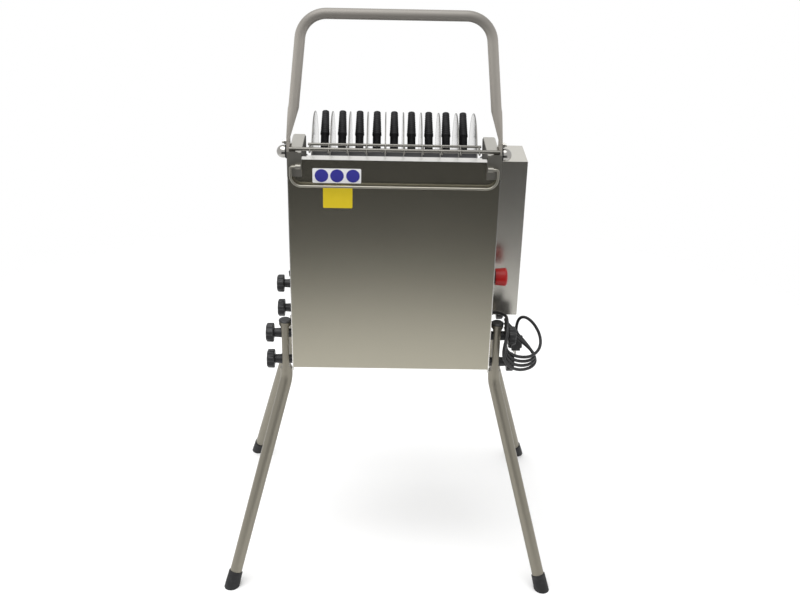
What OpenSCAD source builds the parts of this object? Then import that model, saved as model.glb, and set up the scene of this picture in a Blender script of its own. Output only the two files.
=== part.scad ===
// Dry poultry plucker on four removable splayed legs.
// Frame: X to the right, Y to the back, Z up, origin on the floor between the feet. Millimetres.

/* [Body] */
// Room between each end disc and the outside of its side wall
side_room = 42.5; // [40:0.5:60]
// Depth from the front panel to the rear panel
body_d = 290; // [280:1:340]
// Height of the body's lower edge above the floor
body_bottom = 474; // [440:1:520]
// Height of the front panel
panel_h = 443; // [430:1:480]
// Drop from the rotor axis to the rear panel's top edge
rear_drop = 53; // [40:1:70]
// Thickness of the body sheet
sheet_t = 1.5; // [1:0.1:2]
// Depth of the folded edges of the panels
flange_d = 12; // [8:0.5:16]
// Depth of the front panel's top flange
top_flange_d = 25; // [18:1:32]
// Width of a vent slot in the bottom plate
vent_w = 6; // [4:0.5:8]
// Number of vent slots
vent_count = 9; // [5:1:11]

/* [Side rails] */
// Width of the rail folded from each side wall
rail_w = 24; // [18:1:28]
// Length of the rail from front to back
rail_l = 117; // [90:1:120]
// Rise of the rail above the front panel
rail_rise = 7; // [6:0.5:12]
// Distance of the rail's front end behind the front panel
rail_setback = 18; // [16:1:24]
// Outer radius of the rail's bend
rail_bend_r = 5; // [3:0.5:7]
// Depth of the leaning lip at the front end of the rail
lip_h = 26; // [15:1:34]
// Lean of the lip towards the rotor, in degrees
lip_lean = 24; // [0:1:30]

/* [Rotor] */
// Number of discs
disc_count = 10; // [6:1:12]
// Distance from disc to disc
disc_pitch = 35; // [33:0.5:40]
// Diameter of a disc
disc_d = 222; // [200:1:226]
// Thickness of a disc
disc_t = 2; // [1.5:0.1:3]
// Drop from the front panel's top edge to the rotor axis
shaft_drop = 64; // [55:1:75]
// Diameter of the rotor shaft
shaft_d = 25; // [20:1:30]
// Diameter of the hubs between the discs
hub_d = 68; // [60:1:80]
// Rows of fingers round the hub
finger_rows = 3; // [3:1:4]
// Lean of the first finger row behind the vertical, in degrees
finger_lean = 43; // [30:1:50]
// Length of a finger outside its hub
finger_l = 90; // [75:1:92]
// Diameter at the tip of a finger
finger_tip_d = 14.4; // [12:0.1:15]
// Diameter at the root of a finger's taper
finger_root_d = 18.9; // [17.5:0.1:20]
// Diameter of a finger's stem
finger_stem_d = 16.6; // [14:0.1:17.4]
// Length of the stem outside the hub
finger_stem_l = 37; // [20:1:45]
// Depth of the finger socket in the hub
socket_depth = 12; // [8:0.5:16]

/* [Bearings] */
// Diameter of the bearing flange
bearing_d = 78; // [70:1:84]
// Thickness of the bearing flange
bearing_flange_t = 11; // [8:0.5:14]
// Diameter of the bearing boss
bearing_boss_d = 52; // [44:1:56]
// Height of the bearing from wall to boss face
bearing_h = 26; // [20:0.5:27]
// Diameter of the bolts' circle
bearing_pcd = 64; // [60:1:66]
// Diameter of the bearing bolts
bearing_bolt_d = 6; // [5:0.5:8]

/* [Drive] */
// Gap between the feather baffle's lower edge and the motor
motor_clear = 11; // [8:1:16]
// Distance of the motor axis in front of the rotor axis
motor_offset = 9; // [0:1:14]
// Diameter of the motor housing over its ribs
motor_d = 128; // [110:1:134]
// Length of the ribbed housing
motor_l = 150; // [120:1:190]
// Diameter of the motor shaft
motor_shaft_d = 19; // [14:1:19]
// Number of cooling ribs
rib_count = 28; // [16:2:32]
// Radius of the belt on the rotor pulley
rotor_pulley_r = 27; // [24:0.5:28]
// Radius of the belt on the motor pulley
motor_pulley_r = 18; // [16:0.5:20]
// Height of the pulley flanges over the belt's inner face
pulley_flange_h = 7; // [6.8:0.1:8]
// Width of the belt
belt_w = 12; // [8:0.5:14]
// Thickness of the belt
belt_t = 6; // [4:0.1:6.2]

/* [Belt cover] */
// Depth of the belt cover from the wall
cover_h = 60.5; // [50:0.5:70]
// Width of the belt cover from front to back
cover_w = 102; // [96:1:120]
// Distance of the belt cover's top above the rotor axis
cover_top = 38; // [37.5:0.5:46]
// Distance of the belt cover's bottom below the motor axis
cover_bottom = 57; // [40:1:70]

/* [Stop switch] */
// Distance of the switch behind the front panel
switch_setback = 33; // [30:1:45]
// Drop from the feather baffle's front edge to the switch axis
switch_drop = 54; // [46:1:66]
// Diameter of the mushroom head
switch_head_d = 37; // [30:0.5:44]
// Distance of the head's crown from the wall
switch_reach = 29; // [27:0.5:36]
// Travel of the button
switch_travel = 4; // [3:0.5:5]

/* [Legs] */
// Diameter of the leg tube
leg_d = 25; // [22:0.5:28]
// Wall of the leg tube
leg_wall = 1.5; // [1:0.1:2.5]
// Gap between the leg tube and the side wall
leg_gap = 2.5; // [2:0.1:5]
// Thickness of the tube where it is pressed flat for the knobs
leg_flat_t = 14; // [10:0.5:18]
// Distance of each leg from the front or rear panel
leg_inset = 27; // [25:0.5:32]
// Length of the leg beside the body
leg_grip = 92; // [88:1:100]
// Drop from the body's lower edge to the leg's bend
leg_bend_drop = 39; // [30:1:50]
// Radius of the leg's bend
leg_bend_r = 60; // [45:1:80]
// Sideways splay of a leg
splay_x = 116; // [80:1:150]
// Splay of a leg to the front or the back
splay_y = 138.5; // [100:0.5:170]
// Diameter of a rubber foot
foot_d = 31; // [29:0.5:36]
// Height of a rubber foot
foot_h = 32; // [24:1:40]

/* [Knobs] */
// Distance of the upper knob below the leg's top
knob_drop = 27; // [24:0.5:32]
// Distance from the upper to the lower knob
knob_pitch = 60.5; // [56:0.5:64]
// Diameter of the knob's head
knob_d = 40; // [34:0.5:42]
// Thickness of the knob's head
knob_head_t = 16; // [12:0.5:20]
// Number of lobes
knob_lobes = 7; // [5:1:9]
// Diameter of the knob's neck
knob_neck_d = 20; // [14:0.5:22]
// Length of the knob's neck
knob_neck_l = 16; // [15.5:0.5:20]
// Diameter of the knob's screw
stud_d = 8; // [6:0.5:8]

/* [Carry handle] */
// Diameter of the handle tube
handle_d = 20; // [16:0.5:24]
// Distance of the handle behind the front panel
handle_setback = 71; // [60:1:90]
// Height of the top bar above the handle's bolts
handle_rise = 262; // [220:1:320]
// Radius of the handle's corners
handle_corner_r = 50; // [35:1:70]
// Inward step of the tube at the kink, measured from the wall
kink_inset = 9; // [4:0.5:14]
// Height of the kink above the handle's bolts
kink_rise = 90; // [80:1:110]
// Inward lean of the handle's sides, in degrees
handle_lean = 6.3; // [2:0.1:10]
// Thickness of the flattened feet
handle_flat_t = 6; // [4:0.5:8]
// Width of the flattened feet
handle_flat_w = 26; // [24:0.5:30]
// Drop from the front panel's top edge to the handle's bolts
handle_bolt_drop = 8; // [6:0.5:14]
// Diameter of the domed nuts
dome_d = 25; // [20:0.5:28]

/* [Guard and bail] */
// Diameter of the guard's lower rod
low_rod_d = 7; // [5:0.5:8]
// Diameter of the guard's upper rod
high_rod_d = 5; // [4:0.5:6]
// Diameter of the guard's cross bars
cross_bar_d = 4; // [3:0.5:5]
// Depth from the guard's lower rod to its upper rod
guard_depth = 12; // [9:0.5:16]
// Rise from the guard's lower rod to its upper rod
guard_rise = 6; // [0:0.5:18]
// Width of an ear plate
ear_w = 27.5; // [24:0.5:32]
// Height of an ear plate
ear_h = 48; // [40:1:56]
// Rise of an ear plate above the front panel's top edge
ear_rise = 15; // [6:0.5:20]
// Thickness of the ear plate
ear_t = 3; // [2:0.1:4]
// Drop from the front panel's top edge to the bail's pivot
bail_pivot_drop = 12; // [9:0.5:24]
// Diameter of the bail's wire
bail_d = 5; // [4:0.5:6]
// Drop from the bail's pivot to its run
bail_drop = 38; // [26:0.5:60]
// Radius of the bail's corners
bail_corner_r = 20; // [14:0.5:21]

/* [Cord] */
// Diameter of the cord
cord_d = 6.5; // [5:0.1:6.5]
// Turns of the hank
hank_turns = 3.5; // [2.5:1:3.5]
// Half height of the innermost turn
hank_a = 27; // [25:1:30]
// Half width of the innermost turn
hank_b = 26; // [26:0.5:30]
// Step in height from turn to turn
hank_step = 9; // [8.5:0.1:10]
// Step in width from turn to turn
hank_side_step = 7.4; // [7.2:0.1:9]
// Distance that the foot of the hank leans away from the wall
hank_lean = 58; // [45:1:70]

/* [Hidden] */
$fn = 64;
// Radial clearance of running fits and of pieces pushed together
fit = 0.05;
// Clearance of a screw in its hole
hole_fit = 0.5;
// Running clearance between bodies
gap = 0.3;
// Overlap that makes cuts and unions clean
eps = 1;
// Angle by which a bend runs into the straight bars at its ends
bend_lap = 1.5;
// Extra diameter of the ball in a mitred corner
ball_extra = 0.4;

stack_w = (disc_count - 1) * disc_pitch;
wall_x = stack_w / 2 + side_room;
inner_x = wall_x - sheet_t;
front_y = -body_d / 2;
rear_y = body_d / 2;
panel_top = body_bottom + panel_h;
shaft_z = panel_top - shaft_drop;
rear_top = shaft_z - rear_drop;
rail_z = panel_top + rail_rise;
rail_y0 = front_y + rail_setback;
rail_y1 = rail_y0 + rail_l;
rail_lap = 6;
hub_r = hub_d / 2;
finger_reach = hub_r + finger_l;
disc_xs = [for (i = [0 : disc_count - 1]) i * disc_pitch - stack_w / 2];
hub_l = disc_pitch - disc_t;
bearing_x = inner_x - bearing_h;
collar_gap = 2;
collar_l = bearing_x - collar_gap - stack_w / 2 - disc_t / 2;
collar_d = shaft_d + 20;

baffle_clear = 7;
baffle_front_z = shaft_z - finger_reach - baffle_clear;
baffle_fall = 32;
baffle_rear_z = baffle_front_z - baffle_fall;
baffle_room = 14;

motor_y = -motor_offset;
motor_z = baffle_rear_z - motor_clear - motor_d / 2;
baffle_y = motor_y + motor_d / 2 + baffle_room;
motor_plate_t = 5;
shield_t = 22;
motor_x1 = inner_x - motor_plate_t - shield_t;
motor_x0 = motor_x1 - motor_l;
fan_cover_l = 42;
motor_bolt_r = 42.5;
motor_bolt_d = 6;
motor_hole_d = motor_bolt_d + 2;
rib_h = 8;
rib_t = 3;
belt_x = wall_x + cover_h / 2;
pulley_w = belt_w + 8;
shaft_end_x = belt_x + pulley_w / 2 + 3;
cover_y0 = motor_y - cover_w / 2;
cover_z0 = motor_z - cover_bottom;
cover_z1 = shaft_z + cover_top;
cover_tab = 14;
cover_screw_d = 4;
cover_screw_y = 12;

switch_y = front_y + switch_setback;
switch_z = baffle_front_z - switch_drop;
switch_neck_d = 22;
switch_stem_d = 12;
switch_collar_t = 8;
switch_collar_d = 26;
switch_skirt_t = 2.5;
stem_depth = 11;

leg_x = wall_x + leg_gap + leg_d / 2;
leg_y = body_d / 2 - leg_inset;
leg_top = body_bottom + leg_grip;
leg_bend_z = body_bottom - leg_bend_drop;
splay = sqrt(splay_x * splay_x + splay_y * splay_y);
splay_turn = atan2(splay_y, splay_x);
leg_tilt = atan2(splay, leg_bend_z);
bend_l = leg_bend_r * tan(leg_tilt / 2);
bend_start_z = leg_bend_z + bend_l;
press_r = 12;
socket_h = 5;
leg_socket_d = leg_d - 8;
leg_tab_w = 30;
leg_tab_h = 14;
leg_slant_l = sqrt(splay * splay + leg_bend_z * leg_bend_z);
spacer_l = leg_gap + (leg_d - leg_flat_t) / 2;
spacer_d = stud_d + 10;
nut_t = 7;
knob_z1 = leg_top - knob_drop;
knob_z0 = knob_z1 - knob_pitch;
neck_x = leg_x + leg_flat_t / 2;
head_x = neck_x + knob_neck_l;
cap_t = 4;
foot_floor = 10;

handle_y = front_y + handle_setback;
handle_bolt_z = panel_top - handle_bolt_drop;
handle_top_z = handle_bolt_z + handle_rise;
kink_z = handle_bolt_z + kink_rise;
kink_x = wall_x - kink_inset;
handle_flat_x = wall_x + handle_flat_t / 2;
handle_bolt_d = 10;
small_bolt_d = 6;
small_head_d = 1.8 * small_bolt_d;
washer_t = 2.5;
washer_d = dome_d + 2;
small_bolt_rise = (washer_d + small_head_d) / 2 + gap;
handle_flat_top = small_bolt_rise + small_head_d / 2 + 2;

ear_top_z = panel_top + ear_rise;
low_rod_y = front_y + 5;
low_rod_z = ear_top_z + low_rod_d / 2 + 0.05;
high_rod_y = low_rod_y + guard_depth;
high_rod_z = low_rod_z + guard_rise;
knuckle_r = bail_d / 2 + 2.5;
knuckle_l = 10;
knuckle_x = wall_x - ear_w + 1.5;
bail_y = front_y - ear_t - knuckle_r + 0.5;
bail_z = panel_top - bail_pivot_drop;
bail_x = wall_x - 6.5;
bail_bend_r = 4;

// Route of the mains cord
cord_r = cord_d / 2;
hank_x = (leg_x + leg_d / 2 + 1 + head_x) / 2;
hank_y = -leg_y;
hank_z = knob_z1 + knob_neck_d / 2 + cord_r + gap - hank_a - 0.5 * hank_step;
hank_tilt = 0.9;
hank_swing = 0.2;
lead_r = 4 * cord_d - 0.5;
lead_z = hank_z + hank_a + hank_turns * hank_step;
gland_y = hank_y + lead_r;
gland_nose = hank_x - lead_r - wall_x;
gland_d = 14;
plug_w = 30;
plug_sleeve = 12;
plug_l = 26;
pin_l = 17;
pin_pitch = 19;
plug_d = pin_pitch + 15;
plug_x = head_x + knob_head_t + 10;
plug_y = hank_y + hank_b + hank_side_step * (hank_turns - 0.75) + cord_r + plug_d / 2 + 3;
plug_top_z = hank_z - 7.5;
ring_reach = 75;

function unit(v) = v / norm(v);
function hank_point(turn) =
    let (left = hank_turns - turn)
    let (a = hank_a + hank_step * left)
    let (b = hank_b + hank_side_step * left)
    let (out = pow((1 - cos(360 * turn)) / 2, 2.3))
    let (side = -b * sin(360 * turn))
    let (bulge = hank_swing * side * pow(sin(360 * turn), 4))
    [hank_x + out * (hank_lean + hank_tilt * side) + bulge, hank_y + side, hank_z + a * cos(360 * turn)];
hank_rings = round(24 * hank_turns);
hank_path = [for (i = [0 : hank_rings]) hank_point(i * hank_turns / hank_rings)];
lead_path = concat([[wall_x + gland_nose - 1, gland_y, lead_z]],
    [for (i = [0 : 6]) let (w = i * 15)
        [wall_x + gland_nose + lead_r * sin(w), gland_y - lead_r * (1 - cos(w)), lead_z]]);
hank_end = hank_point(hank_turns);
hank_way = unit([2 * PI * hank_b * hank_tilt, 2 * PI * hank_b, hank_step]);
plug_top = [plug_x, plug_y, plug_top_z];
ring_start = hank_end + cord_d * hank_way;
ring_end = plug_top + [0, 0, cord_d];
function ring_point(t) =
    pow(1 - t, 3) * ring_start + 3 * t * pow(1 - t, 2) * (ring_start + ring_reach * hank_way)
    + 3 * t * t * (1 - t) * (ring_end + [0, 0, ring_reach]) + pow(t, 3) * ring_end;
tail_path = concat([hank_end], [for (i = [0 : 14]) ring_point(i / 14)], [plug_top]);

function tangent(path, i, first, last) =
    i == 0 ? first : i == len(path) - 1 ? last : unit(path[i + 1] - path[i - 1]);
function ring(p, t, ref, r, sides) =
    let (n = unit(cross(t, ref)))
    let (b = cross(n, t))
    [for (k = [0 : sides - 1]) p + r * (cos(360 * k / sides) * n + sin(360 * k / sides) * b)];

// Least distance between the hank's turns, less the cord's own diameter
gap_points = [for (i = [0 : 180]) hank_point(i * hank_turns / 180)];
hank_gap = min([for (i = [0 : 180]) for (j = [i + 24 : 1 : 180]) norm(gap_points[i] - gap_points[j])]) - cord_d;
echo(hank_gap = hank_gap);

// Draws a flat shape given in (Y, Z) and extrudes it along +X from x0
module along_x(x0, h) {
    translate([x0, 0, 0]) rotate([90, 0, 90]) linear_extrude(h) children();
}

// Draws a flat shape given in (X, Z) and extrudes it along +Y from y0
module along_y(y0, h) {
    translate([0, y0 + h, 0]) rotate([90, 0, 0]) linear_extrude(h) children();
}

module rod_x(x0, x1, y, z, d) {
    translate([x0, y, z]) rotate([0, 90, 0]) cylinder(d = d, h = x1 - x0);
}

module both_sides() {
    children();
    mirror([1, 0, 0]) children();
}

module at_knobs() {
    for (sx = [-1, 1]) {
        for (sy = [-1, 1]) {
            for (z = [knob_z0, knob_z1]) {
                translate([0, sy * leg_y, z]) mirror([sx < 0 ? 1 : 0, 0, 0]) children();
            }
        }
    }
}

module tube_between(p, q, d) {
    v = q - p;
    turn = atan2(v[1], v[0]);
    tilt = acos(v[2] / norm(v));
    translate(p) rotate([0, tilt, turn]) cylinder(d = d, h = norm(v));
}

// Bend of a round bar in the XY plane, a little thinner and lapped into the straight ends
module bend(r, angle, d) {
    rotate([0, 0, -bend_lap]) rotate_extrude(angle = angle + 2 * bend_lap) translate([r, 0]) circle(d = d - 2 * fit);
}

// Sweeps a round section along a path, as one closed solid of triangles
module sweep(path, first, last, ref, r, sides) {
    n = len(path);
    rings = [for (i = [0 : n - 1]) ring(path[i], tangent(path, i, first, last), ref, r, sides)];
    points = concat([for (one = rings) for (p = one) p], [path[0], path[n - 1]]);
    side_faces = [for (i = [0 : n - 2]) for (k = [0 : sides - 1])
        let (a = i * sides + k)
        let (b = i * sides + (k + 1) % sides)
        each [[a, a + sides, b], [b, a + sides, b + sides]]];
    start_faces = [for (k = [0 : sides - 1]) [n * sides, k, (k + 1) % sides]];
    end_faces = [for (k = [0 : sides - 1])
        [n * sides + 1, (n - 1) * sides + (k + 1) % sides, (n - 1) * sides + k]];
    polyhedron(points, concat(side_faces, start_faces, end_faces));
}

// Body

// The top flange is cut back at both ends to clear the side rails
module front_panel() {
    corner_d = min(rail_setback - gap, top_flange_d);
    corner_x = wall_x - rail_w - lip_h * sin(lip_lean) - 2 * gap;
    color("#8f8b84") {
        translate([-wall_x, front_y, body_bottom]) cube([2 * wall_x, sheet_t, panel_h]);
        translate([-inner_x, front_y, panel_top - sheet_t]) cube([2 * inner_x, corner_d, sheet_t]);
        translate([-corner_x, front_y, panel_top - sheet_t]) cube([2 * corner_x, top_flange_d, sheet_t]);
        translate([-corner_x, front_y + top_flange_d - sheet_t, panel_top - flange_d])
            cube([2 * corner_x, sheet_t, flange_d]);
        translate([-inner_x, front_y, body_bottom]) cube([2 * inner_x, flange_d, sheet_t]);
        both_sides() translate([inner_x - sheet_t, front_y, body_bottom]) cube([sheet_t, flange_d, panel_h]);
    }
}

module wall_outline() {
    y0 = front_y + sheet_t;
    y1 = rear_y - sheet_t;
    polygon([[y0, body_bottom], [y1, body_bottom], [y1, rear_top], [rail_y1, rail_z - rail_bend_r],
        [rail_y0, rail_z - rail_bend_r], [rail_y0, panel_top], [y0, panel_top]]);
}

// Section of the rail: upright, bend, flat top and leaning lip
module rail_section() {
    inner_r = rail_bend_r - sheet_t;
    arc_x = wall_x - rail_bend_r;
    arc_z = rail_z - rail_bend_r;
    fold = [wall_x - rail_w, rail_z];
    down = [-sin(lip_lean), -cos(lip_lean)];
    across = sheet_t * [cos(lip_lean), -sin(lip_lean)];
    inner_corner = sheet_t * (1 - sin(lip_lean)) / cos(lip_lean);
    polygon(concat(
        [[wall_x, arc_z - rail_lap]],
        [for (w = [0 : 15 : 90]) [arc_x + rail_bend_r * cos(w), arc_z + rail_bend_r * sin(w)]],
        [fold, fold + lip_h * down, fold + lip_h * down + across, fold + inner_corner * down + across],
        [for (w = [90 : -15 : 0]) [arc_x + inner_r * cos(w), arc_z + inner_r * sin(w)]],
        [[inner_x, arc_z - rail_lap]]));
}

module side_rail() {
    cut_x = wall_x - rail_w - lip_h;
    low = rail_z - 2 * lip_h;
    difference() {
        along_y(rail_y0, rail_l) rail_section();
        along_x(cut_x, lip_h + rail_w - rail_bend_r) polygon([[rail_y0, rail_z - lip_h],
            [rail_y1 + eps, rail_z - 3 * sheet_t], [rail_y1 + eps, low], [rail_y0 - eps, low],
            [rail_y0 - eps, rail_z - lip_h]]);
    }
}

module side_wall() {
    color("#9a968f") difference() {
        union() {
            along_x(inner_x, sheet_t) {
                wall_outline();
                for (sy = [-1, 1]) {
                    translate([sy * leg_y - leg_tab_w / 2, body_bottom - leg_tab_h]) square([leg_tab_w, leg_tab_h + eps]);
                }
            }
            side_rail();
        }
        for (sy = [-1, 1]) {
            for (z = [knob_z0, knob_z1]) {
                rod_x(inner_x - eps, wall_x + eps, sy * leg_y, z, stud_d + 2 * hole_fit);
            }
        }
        rod_x(inner_x - eps, wall_x + eps, handle_y, handle_bolt_z, handle_bolt_d + 2 * hole_fit);
        for (w = [45 : 90 : 315]) {
            rod_x(inner_x - eps, wall_x + eps, bearing_pcd / 2 * cos(w), shaft_z + bearing_pcd / 2 * sin(w),
                bearing_bolt_d + 2 * hole_fit);
        }
    }
}

module left_side_wall() {
    mirror([1, 0, 0]) side_wall();
}

module right_side_wall() {
    difference() {
        side_wall();
        rod_x(inner_x - eps, wall_x + eps, 0, shaft_z, shaft_d + 12);
        rod_x(inner_x - eps, wall_x + eps, motor_y, motor_z, motor_shaft_d + 16);
        for (w = [45 : 90 : 315]) {
            rod_x(inner_x - eps, wall_x + eps, motor_y + motor_bolt_r * cos(w), motor_z + motor_bolt_r * sin(w),
                motor_hole_d);
        }
        rod_x(inner_x - eps, wall_x + eps, switch_y, switch_z, switch_neck_d + 2 * fit);
        rod_x(inner_x - eps, wall_x + eps, gland_y, lead_z, gland_d + 2 * fit);
    }
}

module rear_panel() {
    h = rear_top - body_bottom;
    color("#8f8b84") {
        translate([-wall_x, rear_y - sheet_t, body_bottom]) cube([2 * wall_x, sheet_t, h]);
        both_sides() translate([inner_x - sheet_t, rear_y - flange_d, body_bottom]) cube([sheet_t, flange_d, h]);
        translate([-inner_x, rear_y - flange_d, rear_top - sheet_t]) cube([2 * inner_x, flange_d, sheet_t]);
    }
}

module bottom_plate() {
    y0 = front_y + flange_d;
    slot_l = baffle_y - y0 - 60;
    color("#85817a") difference() {
        translate([-inner_x, y0, body_bottom]) cube([2 * inner_x, baffle_y - y0, sheet_t]);
        for (i = [0 : vent_count - 1]) {
            x = (i - (vent_count - 1) / 2) * 3 * vent_w;
            translate([x - vent_w / 2, y0 + 30, body_bottom - eps]) cube([vent_w, slot_l, sheet_t + 2 * eps]);
        }
        both_sides() translate([inner_x - nut_t - 5, y0 - eps, body_bottom - eps])
            cube([nut_t + 10, leg_tab_w, sheet_t + 2 * eps]);
    }
}

module feather_baffle() {
    y0 = front_y + flange_d;
    rise = sheet_t;
    color("#85817a") along_x(-inner_x + sheet_t, 2 * (inner_x - sheet_t)) {
        polygon([[y0, baffle_front_z], [baffle_y, baffle_rear_z], [baffle_y, baffle_rear_z + rise],
            [y0, baffle_front_z + rise]]);
        translate([baffle_y - sheet_t, body_bottom + sheet_t])
            square([sheet_t, baffle_rear_z - body_bottom]);
        translate([y0, baffle_front_z - flange_d]) square([sheet_t, flange_d + rise / 2]);
    }
    color("#85817a") both_sides() translate([inner_x - sheet_t, baffle_y - flange_d, body_bottom + sheet_t])
        cube([sheet_t, flange_d, baffle_rear_z - body_bottom - 2 * sheet_t]);
}

// Ears, bail and guard

module ear_plate() {
    corner = 12;
    tab_d = rail_setback - 2;
    along_y(front_y - ear_t, ear_t) difference() {
        translate([wall_x - ear_w, ear_top_z - ear_h]) square([ear_w, ear_h]);
        difference() {
            translate([wall_x - ear_w - eps, ear_top_z - corner]) square(corner + eps);
            translate([wall_x - ear_w + corner, ear_top_z - corner]) circle(corner);
        }
    }
    translate([wall_x - ear_w + corner, front_y - ear_t, ear_top_z - ear_t])
        cube([ear_w - corner, tab_d, ear_t]);
    difference() {
        rod_x(knuckle_x, knuckle_x + knuckle_l, bail_y, bail_z, 2 * knuckle_r);
        rod_x(knuckle_x - eps, knuckle_x + knuckle_l + eps, bail_y, bail_z, bail_d + 2 * fit);
    }
}

module ear_plates() {
    color("#a29e97") both_sides() ear_plate();
}

module bail_half() {
    run_z = bail_z - bail_drop;
    pin_end = knuckle_x + 1;
    rod_x(0, bail_x - bail_corner_r, bail_y, run_z, bail_d);
    translate([bail_x - bail_corner_r, bail_y, run_z + bail_corner_r]) rotate([90, 0, 0]) rotate([0, 0, -90])
        bend(bail_corner_r, 90, bail_d);
    translate([bail_x, bail_y, run_z + bail_corner_r])
        cylinder(d = bail_d, h = bail_drop - bail_corner_r - bail_bend_r);
    translate([bail_x - bail_bend_r, bail_y, bail_z - bail_bend_r]) rotate([90, 0, 0])
        bend(bail_bend_r, 90, bail_d);
    rod_x(pin_end, bail_x - bail_bend_r, bail_y, bail_z, bail_d);
}

module bail() {
    color("#b9b5ad") both_sides() bail_half();
}

module finger_guard() {
    dy = high_rod_y - low_rod_y;
    dz = high_rod_z - low_rod_z;
    below = 0.6;
    above = 1.05;
    color("#a8a49c") {
        rod_x(-wall_x + 4, wall_x - 4, low_rod_y, low_rod_z, low_rod_d);
        rod_x(-stack_w / 2 - 4, stack_w / 2 + 4, high_rod_y, high_rod_z, high_rod_d);
        for (x = disc_xs) {
            tube_between([x, low_rod_y - below * dy, low_rod_z - below * dz],
                [x, low_rod_y + above * dy, low_rod_z + above * dz], cross_bar_d);
        }
    }
}

// Rotor

module bearing() {
    color("#4f5254") difference() {
        translate([inner_x, 0, shaft_z]) rotate([0, -90, 0]) rotate_extrude() polygon([
            [shaft_d / 2 + fit, 0], [bearing_d / 2, 0], [bearing_d / 2, bearing_flange_t],
            [bearing_boss_d / 2 + 4, bearing_flange_t + 2], [bearing_boss_d / 2, bearing_h - 2],
            [bearing_boss_d / 2 - 2, bearing_h], [shaft_d / 2 + fit, bearing_h]]);
        for (w = [45 : 90 : 315]) {
            rod_x(inner_x - bearing_flange_t - 3, inner_x + eps, bearing_pcd / 2 * cos(w),
                shaft_z + bearing_pcd / 2 * sin(w), bearing_bolt_d + 2 * fit);
        }
    }
}

module left_bearing() {
    mirror([1, 0, 0]) bearing();
}

module right_bearing() {
    bearing();
}

module bearing_bolts() {
    head_t = bearing_bolt_d * 0.7;
    color("#b0aca5") both_sides() for (w = [45 : 90 : 315]) {
        y = bearing_pcd / 2 * cos(w);
        z = shaft_z + bearing_pcd / 2 * sin(w);
        rod_x(inner_x - bearing_flange_t + 2, wall_x, y, z, bearing_bolt_d);
        translate([wall_x, y, z]) rotate([0, 90, 0]) cylinder(d = bearing_bolt_d * 1.9, h = head_t, $fn = 6);
    }
}

module rotor_shaft() {
    color("#c9c7c2") rod_x(-inner_x + 2, shaft_end_x, 0, shaft_z, shaft_d);
}

module plucking_discs() {
    rim = disc_t / 2;
    color("#d6d5d1") for (x = disc_xs) {
        translate([x, 0, shaft_z]) rotate([0, 90, 0]) rotate_extrude($fn = 128) {
            translate([shaft_d / 2 + fit, -disc_t / 2]) square([disc_d / 2 - rim - shaft_d / 2 - fit, disc_t]);
            translate([disc_d / 2 - rim, 0]) intersection() {
                circle(rim);
                translate([0, -rim]) square([rim, 2 * rim]);
            }
        }
    }
}

function finger_angle(row) = finger_lean + row * 360 / finger_rows;

module finger_hubs() {
    color("#2e2f31") for (i = [0 : disc_count - 2]) {
        x = disc_xs[i] + disc_pitch / 2;
        difference() {
            rod_x(x - hub_l / 2, x + hub_l / 2, 0, shaft_z, hub_d);
            rod_x(x - hub_l, x + hub_l, 0, shaft_z, shaft_d + 2 * fit);
            for (row = [0 : finger_rows - 1]) {
                translate([x, 0, shaft_z]) rotate([-finger_angle(row), 0, 0]) translate([0, 0, hub_r - socket_depth])
                    cylinder(d = finger_stem_d + 2 * fit, h = socket_depth + eps);
            }
        }
    }
}

// One rubber finger: stem, step, ribbed taper and rounded tip
module rubber_finger() {
    tip_r = finger_tip_d / 2;
    root_r = finger_root_d / 2;
    stem_r = finger_stem_d / 2;
    step_z = hub_r + finger_stem_l;
    tip_z = finger_reach;
    round_r = 2;
    rotate_extrude($fn = 32) {
        polygon([[0, hub_r - socket_depth], [stem_r, hub_r - socket_depth], [stem_r, step_z], [root_r, step_z],
            [root_r, step_z + 4], [tip_r, tip_z - round_r], [tip_r - round_r, tip_z], [0, tip_z]]);
    }
}

module finger_row(row) {
    color("#26282a") for (i = [0 : disc_count - 2]) {
        translate([disc_xs[i] + disc_pitch / 2, 0, shaft_z]) rotate([-finger_angle(row), 0, 0]) rubber_finger();
    }
}

module finger_row_rear() {
    finger_row(0);
}

module finger_row_low() {
    for (row = [1 : finger_rows - 2]) {
        finger_row(row);
    }
}

module finger_row_front() {
    finger_row(finger_rows - 1);
}

module rotor_collars() {
    color("#3a3c3e") both_sides() translate([stack_w / 2 + disc_t / 2, 0, shaft_z]) rotate([0, 90, 0]) difference() {
        cylinder(d = collar_d, h = collar_l);
        translate([0, 0, -eps]) cylinder(d = shaft_d + 2 * fit, h = collar_l + 2 * eps);
    }
}

// Drive

module pulley(y, z, r, bore) {
    flange_r = r + pulley_flange_h;
    translate([belt_x - pulley_w / 2, y, z]) rotate([0, 90, 0]) rotate_extrude() polygon([
        [bore / 2 + fit, 0], [flange_r, 0], [flange_r, 2], [r, 4 - gap], [r, pulley_w - 4 + gap],
        [flange_r, pulley_w - 2], [flange_r, pulley_w], [bore / 2 + fit, pulley_w]]);
}

module rotor_pulley() {
    color("#6d6f71") pulley(0, shaft_z, rotor_pulley_r, shaft_d);
}

module motor_pulley() {
    color("#6d6f71") pulley(motor_y, motor_z, motor_pulley_r, motor_shaft_d);
}

// Outline of a belt round both pulleys, its inner face moved out by m
module belt_loop(m) {
    hull() {
        translate([0, shaft_z]) circle(rotor_pulley_r + m);
        translate([motor_y, motor_z]) circle(motor_pulley_r + m);
    }
}

module drive_belt() {
    color("#1f2021") along_x(belt_x - belt_w / 2 + gap, belt_w - 2 * gap) difference() {
        belt_loop(gap + belt_t);
        belt_loop(gap);
    }
}

module motor_shaft() {
    color("#c9c7c2") rod_x(motor_x1 - 20, shaft_end_x, motor_y, motor_z, motor_shaft_d);
}

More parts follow.
